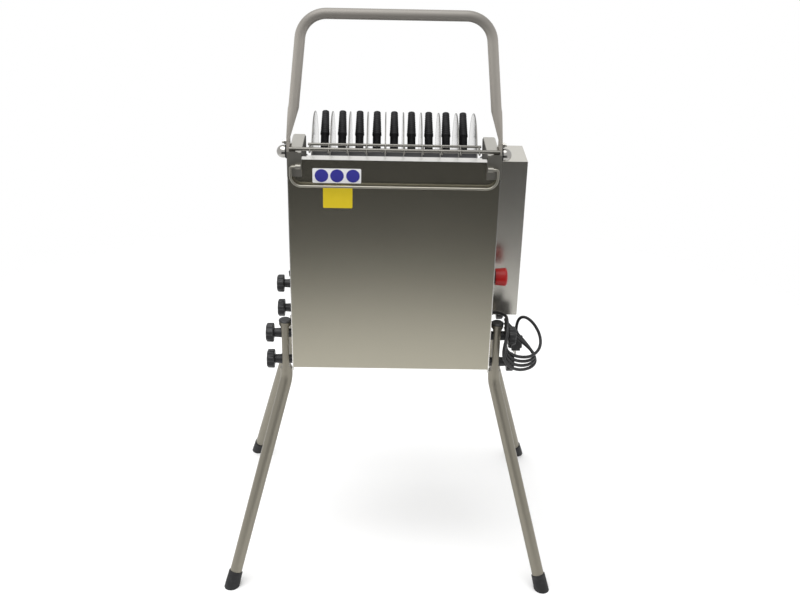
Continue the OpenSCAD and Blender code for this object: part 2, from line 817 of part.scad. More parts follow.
module motor_housing() {
    core_r = motor_d / 2 - rib_h;
    color("#5d6468") difference() {
        along_x(motor_x0, motor_l) translate([motor_y, motor_z]) {
            circle(core_r);
            for (i = [0 : rib_count - 1]) {
                rotate(i * 360 / rib_count) translate([core_r - eps, -rib_t / 2]) square([rib_h + eps, rib_t]);
            }
        }
        rod_x(motor_x1 - 30, motor_x1 + eps, motor_y, motor_z, motor_shaft_d + 8);
    }
}

module motor_shield() {
    color("#5d6468") difference() {
        translate([motor_x1, motor_y, motor_z]) rotate([0, 90, 0]) rotate_extrude() polygon([
            [motor_shaft_d / 2 + fit, 0], [motor_d / 2, 0], [motor_d / 2, 6], [52, shield_t - 8], [52, shield_t],
            [motor_shaft_d / 2 + fit, shield_t]]);
        for (w = [45 : 90 : 315]) {
            rod_x(motor_x1 + shield_t - 12, motor_x1 + shield_t + eps, motor_y + motor_bolt_r * cos(w),
                motor_z + motor_bolt_r * sin(w), motor_bolt_d + 2 * fit);
        }
    }
}

module motor_fan_cover() {
    r = motor_d / 2 + 1;
    color("#3b3e40") translate([motor_x0, motor_y, motor_z]) rotate([0, -90, 0]) difference() {
        cylinder(r = r, h = fan_cover_l);
        translate([0, 0, -eps]) cylinder(r = r - 1.5, h = fan_cover_l - 1.5 + eps);
        for (n = [0 : 2]) {
            for (i = [0 : 7]) {
                rotate(i * 45) translate([16 + n * 14, 0, 0]) cylinder(d = 7, h = fan_cover_l + eps);
            }
        }
    }
}

module motor_terminal_box() {
    box_l = 70;
    box_w = 62;
    box_h = 34;
    color("#4a5054") translate([motor_x0 + motor_l / 4, motor_y - motor_d / 2 - box_h, motor_z - box_w / 2])
        cube([box_l, box_h, box_w]);
}

module motor_plate() {
    side = motor_d - 8;
    color("#7c7972") difference() {
        translate([inner_x - motor_plate_t, motor_y - side / 2, motor_z - side / 2])
            cube([motor_plate_t, side, side]);
        rod_x(inner_x - motor_plate_t - eps, inner_x + eps, motor_y, motor_z, motor_shaft_d + 16);
        for (w = [45 : 90 : 315]) {
            rod_x(inner_x - motor_plate_t - eps, inner_x + eps, motor_y + motor_bolt_r * cos(w),
                motor_z + motor_bolt_r * sin(w),
                motor_hole_d);
        }
    }
}

module motor_bolts() {
    color("#b0aca5") for (w = [45 : 90 : 315]) {
        y = motor_y + motor_bolt_r * cos(w);
        z = motor_z + motor_bolt_r * sin(w);
        rod_x(motor_x1 + shield_t - 10, wall_x, y, z, motor_bolt_d);
        translate([wall_x, y, z]) rotate([0, 90, 0]) cylinder(d = 1.9 * motor_bolt_d, h = 4, $fn = 6);
    }
}

module at_cover_screws() {
    for (z = [cover_z0 - cover_tab / 2, cover_z1 + cover_tab / 2]) {
        for (dy = [-cover_screw_y, cover_screw_y]) {
            translate([wall_x, motor_y + dy, z]) children();
        }
    }
}

module belt_cover() {
    h = cover_z1 - cover_z0;
    color("#a5a19a") difference() {
        union() {
            translate([wall_x, cover_y0, cover_z0]) cube([cover_h, cover_w, h]);
            for (z = [cover_z0 - cover_tab, cover_z1]) {
                translate([wall_x, motor_y - cover_screw_y - cover_screw_d * 2, z])
                    cube([sheet_t, 2 * cover_screw_y + cover_screw_d * 4, cover_tab]);
            }
        }
        translate([wall_x - eps, cover_y0 + sheet_t, cover_z0 + sheet_t])
            cube([cover_h - sheet_t + eps, cover_w - 2 * sheet_t, h - 2 * sheet_t]);
        at_cover_screws() rod_x(-eps, sheet_t + eps, 0, 0, cover_screw_d + 2 * fit);
    }
}

module belt_cover_screws() {
    head_r = 0.95 * cover_screw_d;
    color("#b0aca5") at_cover_screws() {
        rod_x(0, sheet_t, 0, 0, cover_screw_d);
        translate([sheet_t, 0, 0]) rotate([0, 90, 0]) rotate_extrude()
            polygon([[0, 0], [head_r, 0], [0.9 * head_r, 1.6], [head_r / 2, 2.6], [0, 2.8]]);
    }
}

// Stop switch

module switch_body() {
    block = 34;
    block_l = 40;
    color("#2c2d2f") difference() {
        union() {
            translate([inner_x - block_l, switch_y - block / 2, switch_z - block / 2])
                cube([block_l, block, block]);
            rod_x(inner_x - eps, wall_x, switch_y, switch_z, switch_neck_d);
            rod_x(wall_x, wall_x + switch_collar_t, switch_y, switch_z, switch_collar_d);
        }
        rod_x(wall_x - stem_depth - switch_travel - 2, wall_x + switch_collar_t + eps, switch_y, switch_z,
            switch_stem_d + 2 * fit);
    }
}

// Red cup: its skirt runs over the black collar as the button is pressed
module stop_button() {
    skirt_h = switch_travel + 2 * gap;
    roof_h = switch_collar_t + skirt_h;
    skirt_r = switch_collar_d / 2 + 1;
    r = switch_head_d / 2;
    color("#c01f1c") translate([wall_x, switch_y, switch_z]) rotate([0, 90, 0]) rotate_extrude() {
        translate([0, -stem_depth]) square([switch_stem_d / 2, stem_depth + roof_h + eps]);
        polygon([[0, roof_h], [skirt_r, roof_h], [skirt_r, skirt_h], [skirt_r + switch_skirt_t, skirt_h],
            [r - 0.4, switch_reach - 8], [r, switch_reach - 5], [r - 1, switch_reach - 2.5],
            [r - 4, switch_reach - 0.8], [r - 8, switch_reach], [0, switch_reach]]);
    }
}

// Cord and plug

module cord_gland() {
    nose_x = wall_x + gland_nose - 1;
    tail_x = inner_x - 18;
    gland_r = gland_d / 2;
    color("#232426") translate([tail_x, gland_y, lead_z]) rotate([0, 90, 0]) rotate_extrude() polygon([
        [0, 0], [cord_r + 2.2, 0], [gland_r, 16], [gland_r, wall_x - tail_x], [gland_r + 3, wall_x - tail_x],
        [gland_r + 2, wall_x - tail_x + 2], [cord_r + 2.5, nose_x - tail_x], [0, nose_x - tail_x]]);
}

module cord_lead() {
    color("#1d1e20") sweep(lead_path, [1, 0, 0], [0, -1, 0], [0, 0, 1], cord_r, 8);
}

module cord_hank() {
    color("#1d1e20") sweep(hank_path, [0, -1, 0], hank_way, [1, 0, 0], cord_r, 6);
}

module cord_tail() {
    color("#1d1e20") sweep(tail_path, hank_way, [0, 0, -1], [1, -1, 0], cord_r, 8);
}

module plug_body() {
    round_r = 6;
    color("#232426") translate(plug_top) {
        translate([0, 0, -plug_sleeve]) cylinder(d1 = 14, d2 = cord_d + 3, h = plug_sleeve);
        translate([0, 0, -plug_sleeve - plug_l]) linear_extrude(plug_l) {
            square([plug_w - 2 * round_r, plug_d], center = true);
            for (sx = [-1, 1]) {
                translate([sx * (plug_w / 2 - round_r), 0]) circle(round_r);
            }
        }
    }
}

module plug_pins() {
    color("#c8b878") for (sy = [-1, 1]) {
        translate([plug_x, plug_y + sy * pin_pitch / 2, plug_top_z - plug_sleeve - plug_l - pin_l])
            cylinder(d = 4.8, h = pin_l);
    }
}

// Legs

// Outside of a leg tube: upright part, bend and slanting part
module leg_bar() {
    translate([0, 0, bend_start_z]) cylinder(d = leg_d, h = leg_top - bend_start_z);
    rotate([0, 0, splay_turn]) {
        translate([leg_bend_r, 0, bend_start_z]) rotate([-90, 0, 0]) rotate([0, 0, 180 - leg_tilt])
            bend(leg_bend_r, leg_tilt, leg_d);
        leg_slant(leg_d, bend_l, leg_slant_l - foot_floor);
    }
}

// Round bar along the slanting part, between two distances from the corner of the bend
module leg_slant(d, from, to) {
    translate([0, 0, leg_bend_z]) rotate([0, 180 - leg_tilt, 0]) translate([0, 0, from])
        cylinder(d = d, h = to - from);
}

// Space that is pressed out of one side of the tube, as a front view
module leg_press() {
    half = leg_flat_t / 2;
    z0 = knob_z0 - knob_neck_d / 2 - eps;
    z1 = knob_z1 + knob_neck_d / 2 + eps;
    for (z = [z0, z1]) {
        translate([half + press_r, z]) circle(press_r);
    }
    translate([half, z0]) square([2 * press_r, z1 - z0]);
}

module leg() {
    color("#a9a49a") translate([leg_x, leg_y, 0]) difference() {
        leg_bar();
        for (s = [0, 1]) {
            mirror([s, 0, 0]) along_y(-leg_d, 2 * leg_d) leg_press();
        }
        rotate([0, 0, splay_turn]) leg_slant(leg_d - 2 * leg_wall, bend_l + eps, leg_slant_l);
        for (z = [knob_z0, knob_z1]) {
            rod_x(-leg_d, leg_d, 0, z, stud_d + 2 * hole_fit);
        }
        translate([0, 0, leg_top - socket_h]) cylinder(d = leg_socket_d, h = socket_h + eps);
    }
}

module leg_front_left() {
    mirror([1, 0, 0]) mirror([0, 1, 0]) leg();
}

module leg_front_right() {
    mirror([0, 1, 0]) leg();
}

module leg_rear_left() {
    mirror([1, 0, 0]) leg();
}

module leg_rear_right() {
    leg();
}

module four_corners() {
    for (mx = [0, 1]) {
        for (my = [0, 1]) {
            mirror([mx, 0, 0]) mirror([0, my, 0]) children();
        }
    }
}

module leg_plugs() {
    color("#232426") four_corners() translate([leg_x, leg_y, leg_top]) {
        rotate_extrude() polygon([[0, 0], [leg_d / 2 + 0.5, 0], [leg_d / 2 + 0.5, 2], [leg_d / 2 - 2, cap_t],
            [0, cap_t]]);
        translate([0, 0, -socket_h + gap]) cylinder(d = leg_socket_d - 2 * fit, h = socket_h);
    }
}

module rubber_feet() {
    slant = foot_h / cos(leg_tilt) + 12;
    color("#1f2022") four_corners() difference() {
        translate([leg_x + splay_x, leg_y + splay_y, 0]) rotate([0, 0, splay_turn]) rotate([0, -leg_tilt, 0])
            translate([0, 0, -12]) rotate_extrude() polygon([[0, 0], [foot_d / 2, 0], [foot_d / 2, 18],
                [foot_d / 2 - 1, slant - 1], [foot_d / 2 - 2, slant], [0, slant]]);
        translate([leg_x + splay_x - 2 * foot_d, leg_y + splay_y - 2 * foot_d, -2 * foot_d])
            cube([4 * foot_d, 4 * foot_d, 2 * foot_d]);
        translate([leg_x + splay_x, leg_y + splay_y, 0]) rotate([0, 0, splay_turn]) rotate([0, -leg_tilt, 0])
            translate([0, 0, foot_floor]) cylinder(d = leg_d + 2 * fit, h = slant);
    }
}

module leg_spacers() {
    color("#2a2b2d") at_knobs() difference() {
        rod_x(wall_x, wall_x + spacer_l, 0, 0, spacer_d);
        rod_x(wall_x - eps, wall_x + spacer_l + eps, 0, 0, stud_d + 2 * hole_fit);
    }
}

module clamp_nuts() {
    color("#b0aca5") at_knobs() difference() {
        translate([inner_x - nut_t, 0, 0]) rotate([0, 90, 0]) cylinder(d = 1.87 * stud_d, h = nut_t, $fn = 6);
        rod_x(inner_x - nut_t - eps, inner_x + eps, 0, 0, stud_d + 2 * fit);
    }
}

// One lobed knob with its moulded-in screw, on the +X side at y = 0, z = 0
module knob() {
    lobe_r = 6;
    color("#242628") {
        along_x(head_x, knob_head_t) {
            circle(knob_d / 2 - 3);
            for (i = [0 : knob_lobes - 1]) {
                rotate(i * 360 / knob_lobes) translate([knob_d / 2 - lobe_r, 0]) circle(lobe_r);
            }
        }
        translate([neck_x + gap, 0, 0]) rotate([0, 90, 0])
            cylinder(d1 = knob_neck_d, d2 = knob_neck_d - 2, h = head_x - neck_x - gap + eps);
        rod_x(inner_x - nut_t - 3, neck_x + eps, 0, 0, stud_d);
    }
}

module knob_at(sx, sy, z) {
    translate([0, sy * leg_y, z]) mirror([sx < 0 ? 1 : 0, 0, 0]) knob();
}

module knob_front_left_upper() {
    knob_at(-1, -1, knob_z1);
}

module knob_front_left_lower() {
    knob_at(-1, -1, knob_z0);
}

module knob_front_right_upper() {
    knob_at(1, -1, knob_z1);
}

module knob_front_right_lower() {
    knob_at(1, -1, knob_z0);
}

module knob_rear_left_upper() {
    knob_at(-1, 1, knob_z1);
}

module knob_rear_left_lower() {
    knob_at(-1, 1, knob_z0);
}

module knob_rear_right_upper() {
    knob_at(1, 1, knob_z1);
}

module knob_rear_right_lower() {
    knob_at(1, 1, knob_z0);
}

// Carry handle

side_l = (handle_top_z - handle_corner_r - kink_z + handle_corner_r * sin(handle_lean)) / cos(handle_lean);
corner_x = kink_x - side_l * sin(handle_lean) - handle_corner_r * cos(handle_lean);

module handle_bar() {
    rod_x(-corner_x, corner_x, handle_y, handle_top_z, handle_d);
    both_sides() {
        translate([corner_x, handle_y, handle_top_z - handle_corner_r]) rotate([90, 0, 0])
            rotate([0, 0, handle_lean]) bend(handle_corner_r, 90 - handle_lean, handle_d);
        translate([kink_x, handle_y, kink_z]) rotate([0, -handle_lean, 0]) cylinder(d = handle_d, h = side_l);
    }
}

// Foot of the handle: the tube runs out into a flat tongue that is bolted to the wall
module handle_foot() {
    top_z = handle_bolt_z + handle_flat_top;
    half = handle_d / 2 + eps;
    tongue_x = wall_x + handle_flat_t;
    kink = [kink_x, handle_y, kink_z];
    run = [handle_flat_x, handle_y, top_z] - kink;
    difference() {
        union() {
            rod_x(wall_x, tongue_x, handle_y, handle_bolt_z, handle_flat_w);
            translate([wall_x, handle_y - handle_flat_w / 2, handle_bolt_z])
                cube([handle_flat_t, handle_flat_w, handle_flat_top]);
            translate(kink) sphere(d = handle_d + ball_extra);
            intersection() {
                translate(kink) rotate([0, 180 - atan2(run[0], -run[2]), 0])
                    cylinder(d1 = handle_d, d2 = handle_flat_w + 3, h = norm(run) + 8);
                along_y(handle_y - handle_flat_w, 2 * handle_flat_w) polygon([
                    [kink_x - half, kink_z + half], [kink_x - half, kink_z], [wall_x, top_z - eps],
                    [tongue_x, top_z - eps], [kink_x + half, kink_z], [kink_x + half, kink_z + half]]);
            }
        }
        rod_x(wall_x - eps, tongue_x + eps, handle_y, handle_bolt_z, handle_bolt_d + 2 * fit);
        rod_x(wall_x - eps, tongue_x + eps, handle_y, handle_bolt_z + small_bolt_rise, small_bolt_d + 2 * fit);
    }
}

module carry_handle() {
    color("#a9a49a") {
        handle_bar();
        both_sides() handle_foot();
    }
}

module handle_washers() {
    color("#1f2022") both_sides() difference() {
        rod_x(wall_x + handle_flat_t, wall_x + handle_flat_t + washer_t, handle_y, handle_bolt_z, washer_d);
        rod_x(wall_x, wall_x + handle_flat_t + 2 * washer_t, handle_y, handle_bolt_z, handle_bolt_d + 2 * fit);
    }
}

module handle_dome_nuts() {
    x0 = handle_flat_t + washer_t;
    r = dome_d / 2;
    color("#d2d0cb") both_sides() translate([wall_x, handle_y, handle_bolt_z]) {
        rotate([0, 90, 0]) rotate_extrude() {
            translate([0, x0]) polygon([[0, 0], [r - 0.5, 0], [r, 0.8], [r, 5], [0, 5]]);
            intersection() {
                translate([0, x0 + 5]) circle(r);
                translate([0, x0 + 4.5]) square([r, r + 1]);
            }
        }
        rod_x(-handle_bolt_d, x0 + eps, 0, 0, handle_bolt_d);
    }
}

module handle_small_bolts() {
    color("#3a3a38") both_sides() translate([wall_x, handle_y, handle_bolt_z + small_bolt_rise]) {
        rod_x(0, handle_flat_t + 9, 0, 0, small_bolt_d);
        translate([handle_flat_t, 0, 0]) rotate([0, 90, 0]) cylinder(d = small_head_d, h = 5, $fn = 6);
    }
}

front_panel();
left_side_wall();
right_side_wall();
rear_panel();
bottom_plate();
feather_baffle();
ear_plates();
bail();
finger_guard();
left_bearing();
right_bearing();
bearing_bolts();
rotor_shaft();
plucking_discs();
finger_hubs();
finger_row_rear();
finger_row_low();
finger_row_front();
rotor_collars();
rotor_pulley();
drive_belt();
motor_pulley();
motor_shaft();
motor_housing();
motor_shield();
motor_fan_cover();
motor_terminal_box();
motor_plate();
motor_bolts();
belt_cover();
belt_cover_screws();
switch_body();
stop_button();
cord_gland();
cord_lead();
cord_hank();
cord_tail();
plug_body();
plug_pins();
leg_front_left();
leg_front_right();
leg_rear_left();
leg_rear_right();
leg_plugs();
rubber_feet();
leg_spacers();
clamp_nuts();
knob_front_left_upper();
knob_front_left_lower();
knob_front_right_upper();
knob_front_right_lower();
knob_rear_left_upper();
knob_rear_left_lower();
knob_rear_right_upper();
knob_rear_right_lower();
carry_handle();
handle_washers();
handle_dome_nuts();
handle_small_bolts();
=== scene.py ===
"""Looks of a dry poultry plucker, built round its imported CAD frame.

Lengths are metres in the CAD's own frame: X to the belt cover's side, Y to the back, Z up from the floor.
"""

from __future__ import annotations

import logging
import math
from dataclasses import dataclass, field
from enum import Enum
from typing import Any, Iterable, Union

import bmesh
import bpy
from mathutils import Matrix, Vector

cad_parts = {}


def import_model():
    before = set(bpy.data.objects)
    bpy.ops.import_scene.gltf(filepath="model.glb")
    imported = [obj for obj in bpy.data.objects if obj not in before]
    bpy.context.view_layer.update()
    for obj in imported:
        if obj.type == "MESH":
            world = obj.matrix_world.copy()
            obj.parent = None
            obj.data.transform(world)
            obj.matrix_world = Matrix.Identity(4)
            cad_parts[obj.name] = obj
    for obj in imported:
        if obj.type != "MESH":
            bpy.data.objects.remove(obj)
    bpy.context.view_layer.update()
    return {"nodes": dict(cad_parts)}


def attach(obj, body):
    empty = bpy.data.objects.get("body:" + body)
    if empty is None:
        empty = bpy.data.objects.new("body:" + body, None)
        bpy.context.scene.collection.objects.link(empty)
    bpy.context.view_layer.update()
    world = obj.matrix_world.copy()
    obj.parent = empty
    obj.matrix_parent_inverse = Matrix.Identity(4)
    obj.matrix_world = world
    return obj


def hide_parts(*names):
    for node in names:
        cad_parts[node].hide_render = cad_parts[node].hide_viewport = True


LOG = logging.getLogger("plucker")
MM = 0.001
FULL_TURN = 2 * math.pi
NOISE_MEAN = 0.5

Color = tuple[float, float, float]
Point = tuple[float, float, float]
Outline = list[tuple[float, float]]
Number = Union["Sock", float]
Tone = Union[Color, bpy.types.NodeSocket]
Feed = Union["Sock", bpy.types.NodeSocket, float, Color]


class Axis(Enum):
    """Axis of the CAD frame."""

    X = 0
    Y = 1
    Z = 2


class Side(Enum):
    """Left or right half of the machine."""

    LEFT = -1
    RIGHT = 1


class End(Enum):
    """Front or rear end of the machine."""

    FRONT = -1
    REAR = 1


# Node trees and shader maths


def connect(tree: bpy.types.NodeTree, socket: bpy.types.NodeSocket, value: Feed) -> None:
    """Sets an input to a value, or links it to an output.

    Args:
        tree: Node tree of the input.
        socket: The input.
        value: Number, colour, vector or output that feeds it.
    """
    source = value.out if isinstance(value, Sock) else value
    if isinstance(source, bpy.types.NodeSocket):
        tree.links.new(source, socket)
    elif socket.type == "RGBA":
        socket.default_value = (*source, 1.0)
    else:
        socket.default_value = source


def add_node(tree: bpy.types.NodeTree, kind: str, settings: dict[str, Any] | None = None,
             feeds: dict[str | int, Feed] | None = None) -> bpy.types.Node:
    """Adds a node, makes its settings and then feeds its inputs.

    Args:
        tree: Node tree that gets the node.
        kind: Blender's name of the node type.
        settings: Properties of the node.
        feeds: Values or outputs for its inputs, by name or number.

    Returns:
        The new node.
    """
    node = tree.nodes.new(kind)
    for name, value in (settings or {}).items():
        setattr(node, name, value)
    for key, value in (feeds or {}).items():
        connect(tree, node.inputs[key], value)
    return node


class Sock:
    """A shader output that can be used in sums."""

    def __init__(self, tree: bpy.types.NodeTree, out: bpy.types.NodeSocket) -> None:
        """Wraps an output of a node tree."""
        self.tree = tree
        self.out = out

    def _math(self, operation: str, first: Number, second: Number) -> "Sock":
        """Adds a Math node on two values."""
        node = add_node(self.tree, "ShaderNodeMath", {"operation": operation}, {0: first, 1: second})
        return Sock(self.tree, node.outputs[0])

    def __add__(self, other: Number) -> "Sock":
        """Adds a value."""
        return self._math("ADD", self, other)

    def __radd__(self, other: Number) -> "Sock":
        """Is added to a value."""
        return self._math("ADD", other, self)

    def __sub__(self, other: Number) -> "Sock":
        """Takes a value away."""
        return self._math("SUBTRACT", self, other)

    def __rsub__(self, other: Number) -> "Sock":
        """Is taken away from a value."""
        return self._math("SUBTRACT", other, self)

    def __mul__(self, other: Number) -> "Sock":
        """Multiplies by a value."""
        return self._math("MULTIPLY", self, other)

    def __rmul__(self, other: Number) -> "Sock":
        """Multiplies a value."""
        return self._math("MULTIPLY", other, self)

    def __pow__(self, other: Number) -> "Sock":
        """Is raised to a power."""
        return self._math("POWER", self, other)

    def __rpow__(self, other: Number) -> "Sock":
        """Is the power that a value is raised to."""
        return self._math("POWER", other, self)

    def magnitude(self) -> "Sock":
        """Drops the sign."""
        return self._math("ABSOLUTE", self, 0.0)

    def fade(self, low: float, high: float) -> "Sock":
        """Steps smoothly from 0 at the low value to 1 at the high one."""
        node = add_node(self.tree, "ShaderNodeMapRange", {"interpolation_type": "SMOOTHSTEP"},
                        {"Value": self, "From Min": low, "From Max": high})
        return Sock(self.tree, node.outputs["Result"])


def mixed(tree: bpy.types.NodeTree, first: Tone, second: Tone, share: Sock) -> bpy.types.NodeSocket:
    """Mixes two colours.

    Args:
        tree: Node tree of the mix.
        first: Colour, or colour output, where the share is 0.
        second: Colour, or colour output, where the share is 1.
        share: How much of the second colour there is.

    Returns:
        The colour output.
    """
    mix = add_node(tree, "ShaderNodeMix", {"data_type": "RGBA"}, {"Factor": share})
    sockets = [socket for socket in mix.inputs if socket.type == "RGBA"]
    for socket, tone in zip(sockets, (first, second)):
        connect(tree, socket, tone)
    return next(out for out in mix.outputs if out.type == "RGBA")


def scaled(color: Color, factor: float) -> Color:
    """Makes a colour lighter or darker."""
    return tuple(min(1.0, part * factor) for part in color)


class Shader:
    """One material, its Principled node and the nodes that feed it."""

    def __init__(self, name: str) -> None:
        """Starts a material.

        Args:
            name: Name of the material.
        """
        self.material = bpy.data.materials.new(name)
        self.material.use_nodes = True
        self.tree = self.material.node_tree
        self.bsdf = self.tree.nodes["Principled BSDF"]

    def node(self, kind: str, feeds: dict[str | int, Feed] | None = None) -> bpy.types.Node:
        """Adds a node that needs no settings."""
        return add_node(self.tree, kind, feeds=feeds)

    def place(self) -> bpy.types.NodeSocket:
        """Gives the object coordinates, which are metres in the CAD frame."""
        return self.node("ShaderNodeTexCoord").outputs["Object"]

    def split(self) -> tuple[Sock, Sock, Sock]:
        """Gives X, Y and Z of the object coordinates."""
        parts = self.node("ShaderNodeSeparateXYZ", {0: self.place()})
        return tuple(Sock(self.tree, out) for out in parts.outputs)

    def noise(self, stretch: Point, detail: float, vector: bpy.types.NodeSocket | None = None) -> Sock:
        """Noise with its own frequency along each axis.

        Args:
            stretch: Features per metre along X, Y and Z.
            detail: Octaves of the noise.
            vector: Place to read the noise at, the object coordinates if left out.

        Returns:
            Noise from 0 to 1.
        """
        mapping = self.node("ShaderNodeMapping", {"Vector": vector or self.place(), "Scale": stretch})
        feeds = {"Vector": mapping.outputs[0], "Scale": 1.0, "Detail": detail}
        noise = self.node("ShaderNodeTexNoise", feeds)
        return Sock(self.tree, noise.outputs["Fac"])

    def even_noise(self, per_metre: float, detail: float) -> Sock:
        """Gives noise of one frequency along all axes."""
        return self.noise((per_metre, per_metre, per_metre), detail)

    def line_noise(self, value: Sock, detail: float) -> Sock:
        """Gives noise along a single value."""
        spread = self.node("ShaderNodeCombineXYZ", {0: value})
        return self.noise((1.0, 1.0, 1.0), detail, spread.outputs[0])

    def blend(self, first: Tone, second: Tone, share: Sock) -> bpy.types.NodeSocket:
        """Mixes two colours in this material."""
        return mixed(self.tree, first, second, share)

    def shades(self, color: Color, dark: float, light: float, share: Sock) -> bpy.types.NodeSocket:
        """Goes from a dark to a light shade of one colour."""
        return self.blend(scaled(color, dark), scaled(color, light), share)

    def bump(self, height: Sock, strength: float, distance: float) -> None:
        """Feeds the normal from a height of 0 to 1, with its real height in metres."""
        node = self.node("ShaderNodeBump", {"Strength": strength, "Distance": distance, "Height": height})
        self.feed("Normal", node.outputs[0])

    def feed(self, name: str, value: Feed) -> None:
        """Links or sets one input of the Principled node."""
        connect(self.tree, self.bsdf.inputs[name], value)


# Finishes


@dataclass(frozen=True)
class Band:
    """Part of a piece, past a distance along one axis or short of it, that has its own tone; the bands here
    paint highlights and shade.
    """

    axis: Axis
    edge: float
    tone: Color
    past: bool = True
    dull: float = 0.0
    soft: float = 0.0004

    def share(self, shader: Shader) -> Sock:
        """Gives 1 in the band and 0 outside it."""
        step = shader.split()[self.axis.value].magnitude().fade(self.edge - self.soft, self.edge)
        return step if self.past else 1.0 - step


@dataclass(frozen=True)
class Steel:
    """Satin metal with brushed lines along one axis and faint smudges."""

    color: Color
    roughness: float
    grain: Axis = Axis.X
    streak: float = 0.10
    smudge: float = 0.10
    metallic: float = 1.0
    relief: float = 0.006
    bands: tuple[Band, ...] = ()
    lines_along: float = 3.0
    lines_across: float = 900.0
    smudges_per_m: float = 9.0
    line_tone: float = 0.3
    dull_rough: float = 0.5
    depth: float = 0.0002

    def make(self, name: str) -> bpy.types.Material:
        """Builds the material.

        Args:
            name: Name of the material.

        Returns:
            The material.
        """
        stretch = [self.lines_across] * 3
        stretch[self.grain.value] = self.lines_along
        shader = Shader(name)
        lines = shader.noise(tuple(stretch), detail=3.0)
        cloud = shader.even_noise(self.smudges_per_m, detail=4.0)
        swing = self.line_tone * self.streak
        tone = shader.shades(self.color, 1.0 - swing, 1.0 + swing, lines)
        rough = self.roughness + (lines - NOISE_MEAN) * self.streak + (cloud - NOISE_MEAN) * self.smudge
        metal: Number = self.metallic
        # Each band blends in its own tone: painted highlights and painted shade
        for band in self.bands:
            share = band.share(shader)
            tone = shader.blend(tone, band.tone, share)
            rough = rough + share * (self.dull_rough * band.dull)
            metal = metal * (1.0 - share * band.dull)
        shader.feed("Base Color", tone)
        shader.feed("Roughness", rough)
        shader.feed("Metallic", metal)
        if self.relief > 0.0:
            shader.bump(lines, self.relief, self.depth)
        return shader.material


@dataclass(frozen=True)
class Turned:
    """Polished metal with fine rings round an axis along X."""

    color: Color
    roughness: float
    center_y: float
    center_z: float
    rings_per_m: float = 700.0
    film_per_m: float = 14.0
    dark: float = 0.95
    light: float = 1.04
    ring_rough: float = 0.06
    film_rough: float = 0.05
    relief: float = 0.008
    depth: float = 0.0002

    def make(self, name: str) -> bpy.types.Material:
        """Builds the material.

        Args:
            name: Name of the material.

        Returns:
            The material.
        """
        shader = Shader(name)
        _, y, z = shader.split()
        dy = y - self.center_y
        dz = z - self.center_z
        radius = (dy * dy + dz * dz) ** 0.5
        rings = shader.line_noise(radius * self.rings_per_m, detail=2.0)
        film = shader.even_noise(self.film_per_m, detail=3.0)
        shader.feed("Base Color", shader.shades(self.color, self.dark, self.light, rings))
        ring_rough = (rings - NOISE_MEAN) * self.ring_rough
        shader.feed("Roughness", self.roughness + ring_rough + film * self.film_rough)
        shader.feed("Metallic", 1.0)
        shader.bump(rings, self.relief, self.depth)
        return shader.material


@dataclass(frozen=True)
class Rubber:
    """Matt rubber with a fine skin and a little pale bloom."""

    color: Color
    roughness: float
    bloom: float = 0.35
    shine: float = 0.25
    skin_per_m: float = 1800.0
    bloom_per_m: float = 60.0
    bloom_from: float = 0.45
    bloom_to: float = 0.75
    paler: float = 0.03
    uneven: float = 0.12
    relief: float = 0.10
    depth: float = 0.0002

    def make(self, name: str) -> bpy.types.Material:
        """Builds the material.

        Args:
            name: Name of the material.

        Returns:
            The material.
        """
        shader = Shader(name)
        skin = shader.even_noise(self.skin_per_m, detail=2.0)
        cloud = shader.even_noise(self.bloom_per_m, detail=4.0)
        pale = tuple(part + self.paler for part in self.color)
        share = cloud.fade(self.bloom_from, self.bloom_to) * self.bloom
        shader.feed("Base Color", shader.blend(self.color, pale, share))
        shader.feed("Roughness", self.roughness + (cloud - NOISE_MEAN) * self.uneven)
        shader.feed("Specular IOR Level", self.shine)
        shader.bump(skin, self.relief, self.depth)
        return shader.material


@dataclass(frozen=True)
class Plastic:
    """Moulded plastic with a fine grain."""

    color: Color
    roughness: float
    coat: float = 0.0
    grain: float = 0.08
    shine: float = 0.35
    grain_per_m: float = 2600.0
    wear_per_m: float = 45.0
    dark: float = 0.9
    light: float = 1.12
    uneven: float = 0.10
    depth: float = 0.0001

    def make(self, name: str) -> bpy.types.Material:
        """Builds the material.

        Args:
            name: Name of the material.

        Returns:
            The material.
        """
        shader = Shader(name)
        grain = shader.even_noise(self.grain_per_m, detail=1.0)
        wear = shader.even_noise(self.wear_per_m, detail=3.0)
        shader.feed("Base Color", shader.shades(self.color, self.dark, self.light, wear))
        shader.feed("Roughness", self.roughness + (wear - NOISE_MEAN) * self.uneven)
        shader.feed("Coat Weight", self.coat)
        shader.feed("Specular IOR Level", self.shine)
        shader.bump(grain, self.grain, self.depth)
        return shader.material


@dataclass(frozen=True)
class Cast:
    """Cast or painted metal with a slightly uneven skin."""

    color: Color
    roughness: float
    metallic: float
    skin_per_m: float = 420.0
    cloud_per_m: float = 22.0
    dark: float = 0.88
    light: float = 1.1
    uneven: float = 0.15
    relief: float = 0.12
    depth: float = 0.0004

    def make(self, name: str) -> bpy.types.Material:
        """Builds the material.

        Args:
            name: Name of the material.

        Returns:
            The material.
        """
        shader = Shader(name)
        skin = shader.even_noise(self.skin_per_m, detail=4.0)
        cloud = shader.even_noise(self.cloud_per_m, detail=3.0)
        shader.feed("Base Color", shader.shades(self.color, self.dark, self.light, cloud))
        shader.feed("Roughness", self.roughness + (skin - NOISE_MEAN) * self.uneven)
        shader.feed("Metallic", self.metallic)
        shader.bump(skin, self.relief, self.depth)
        return shader.material


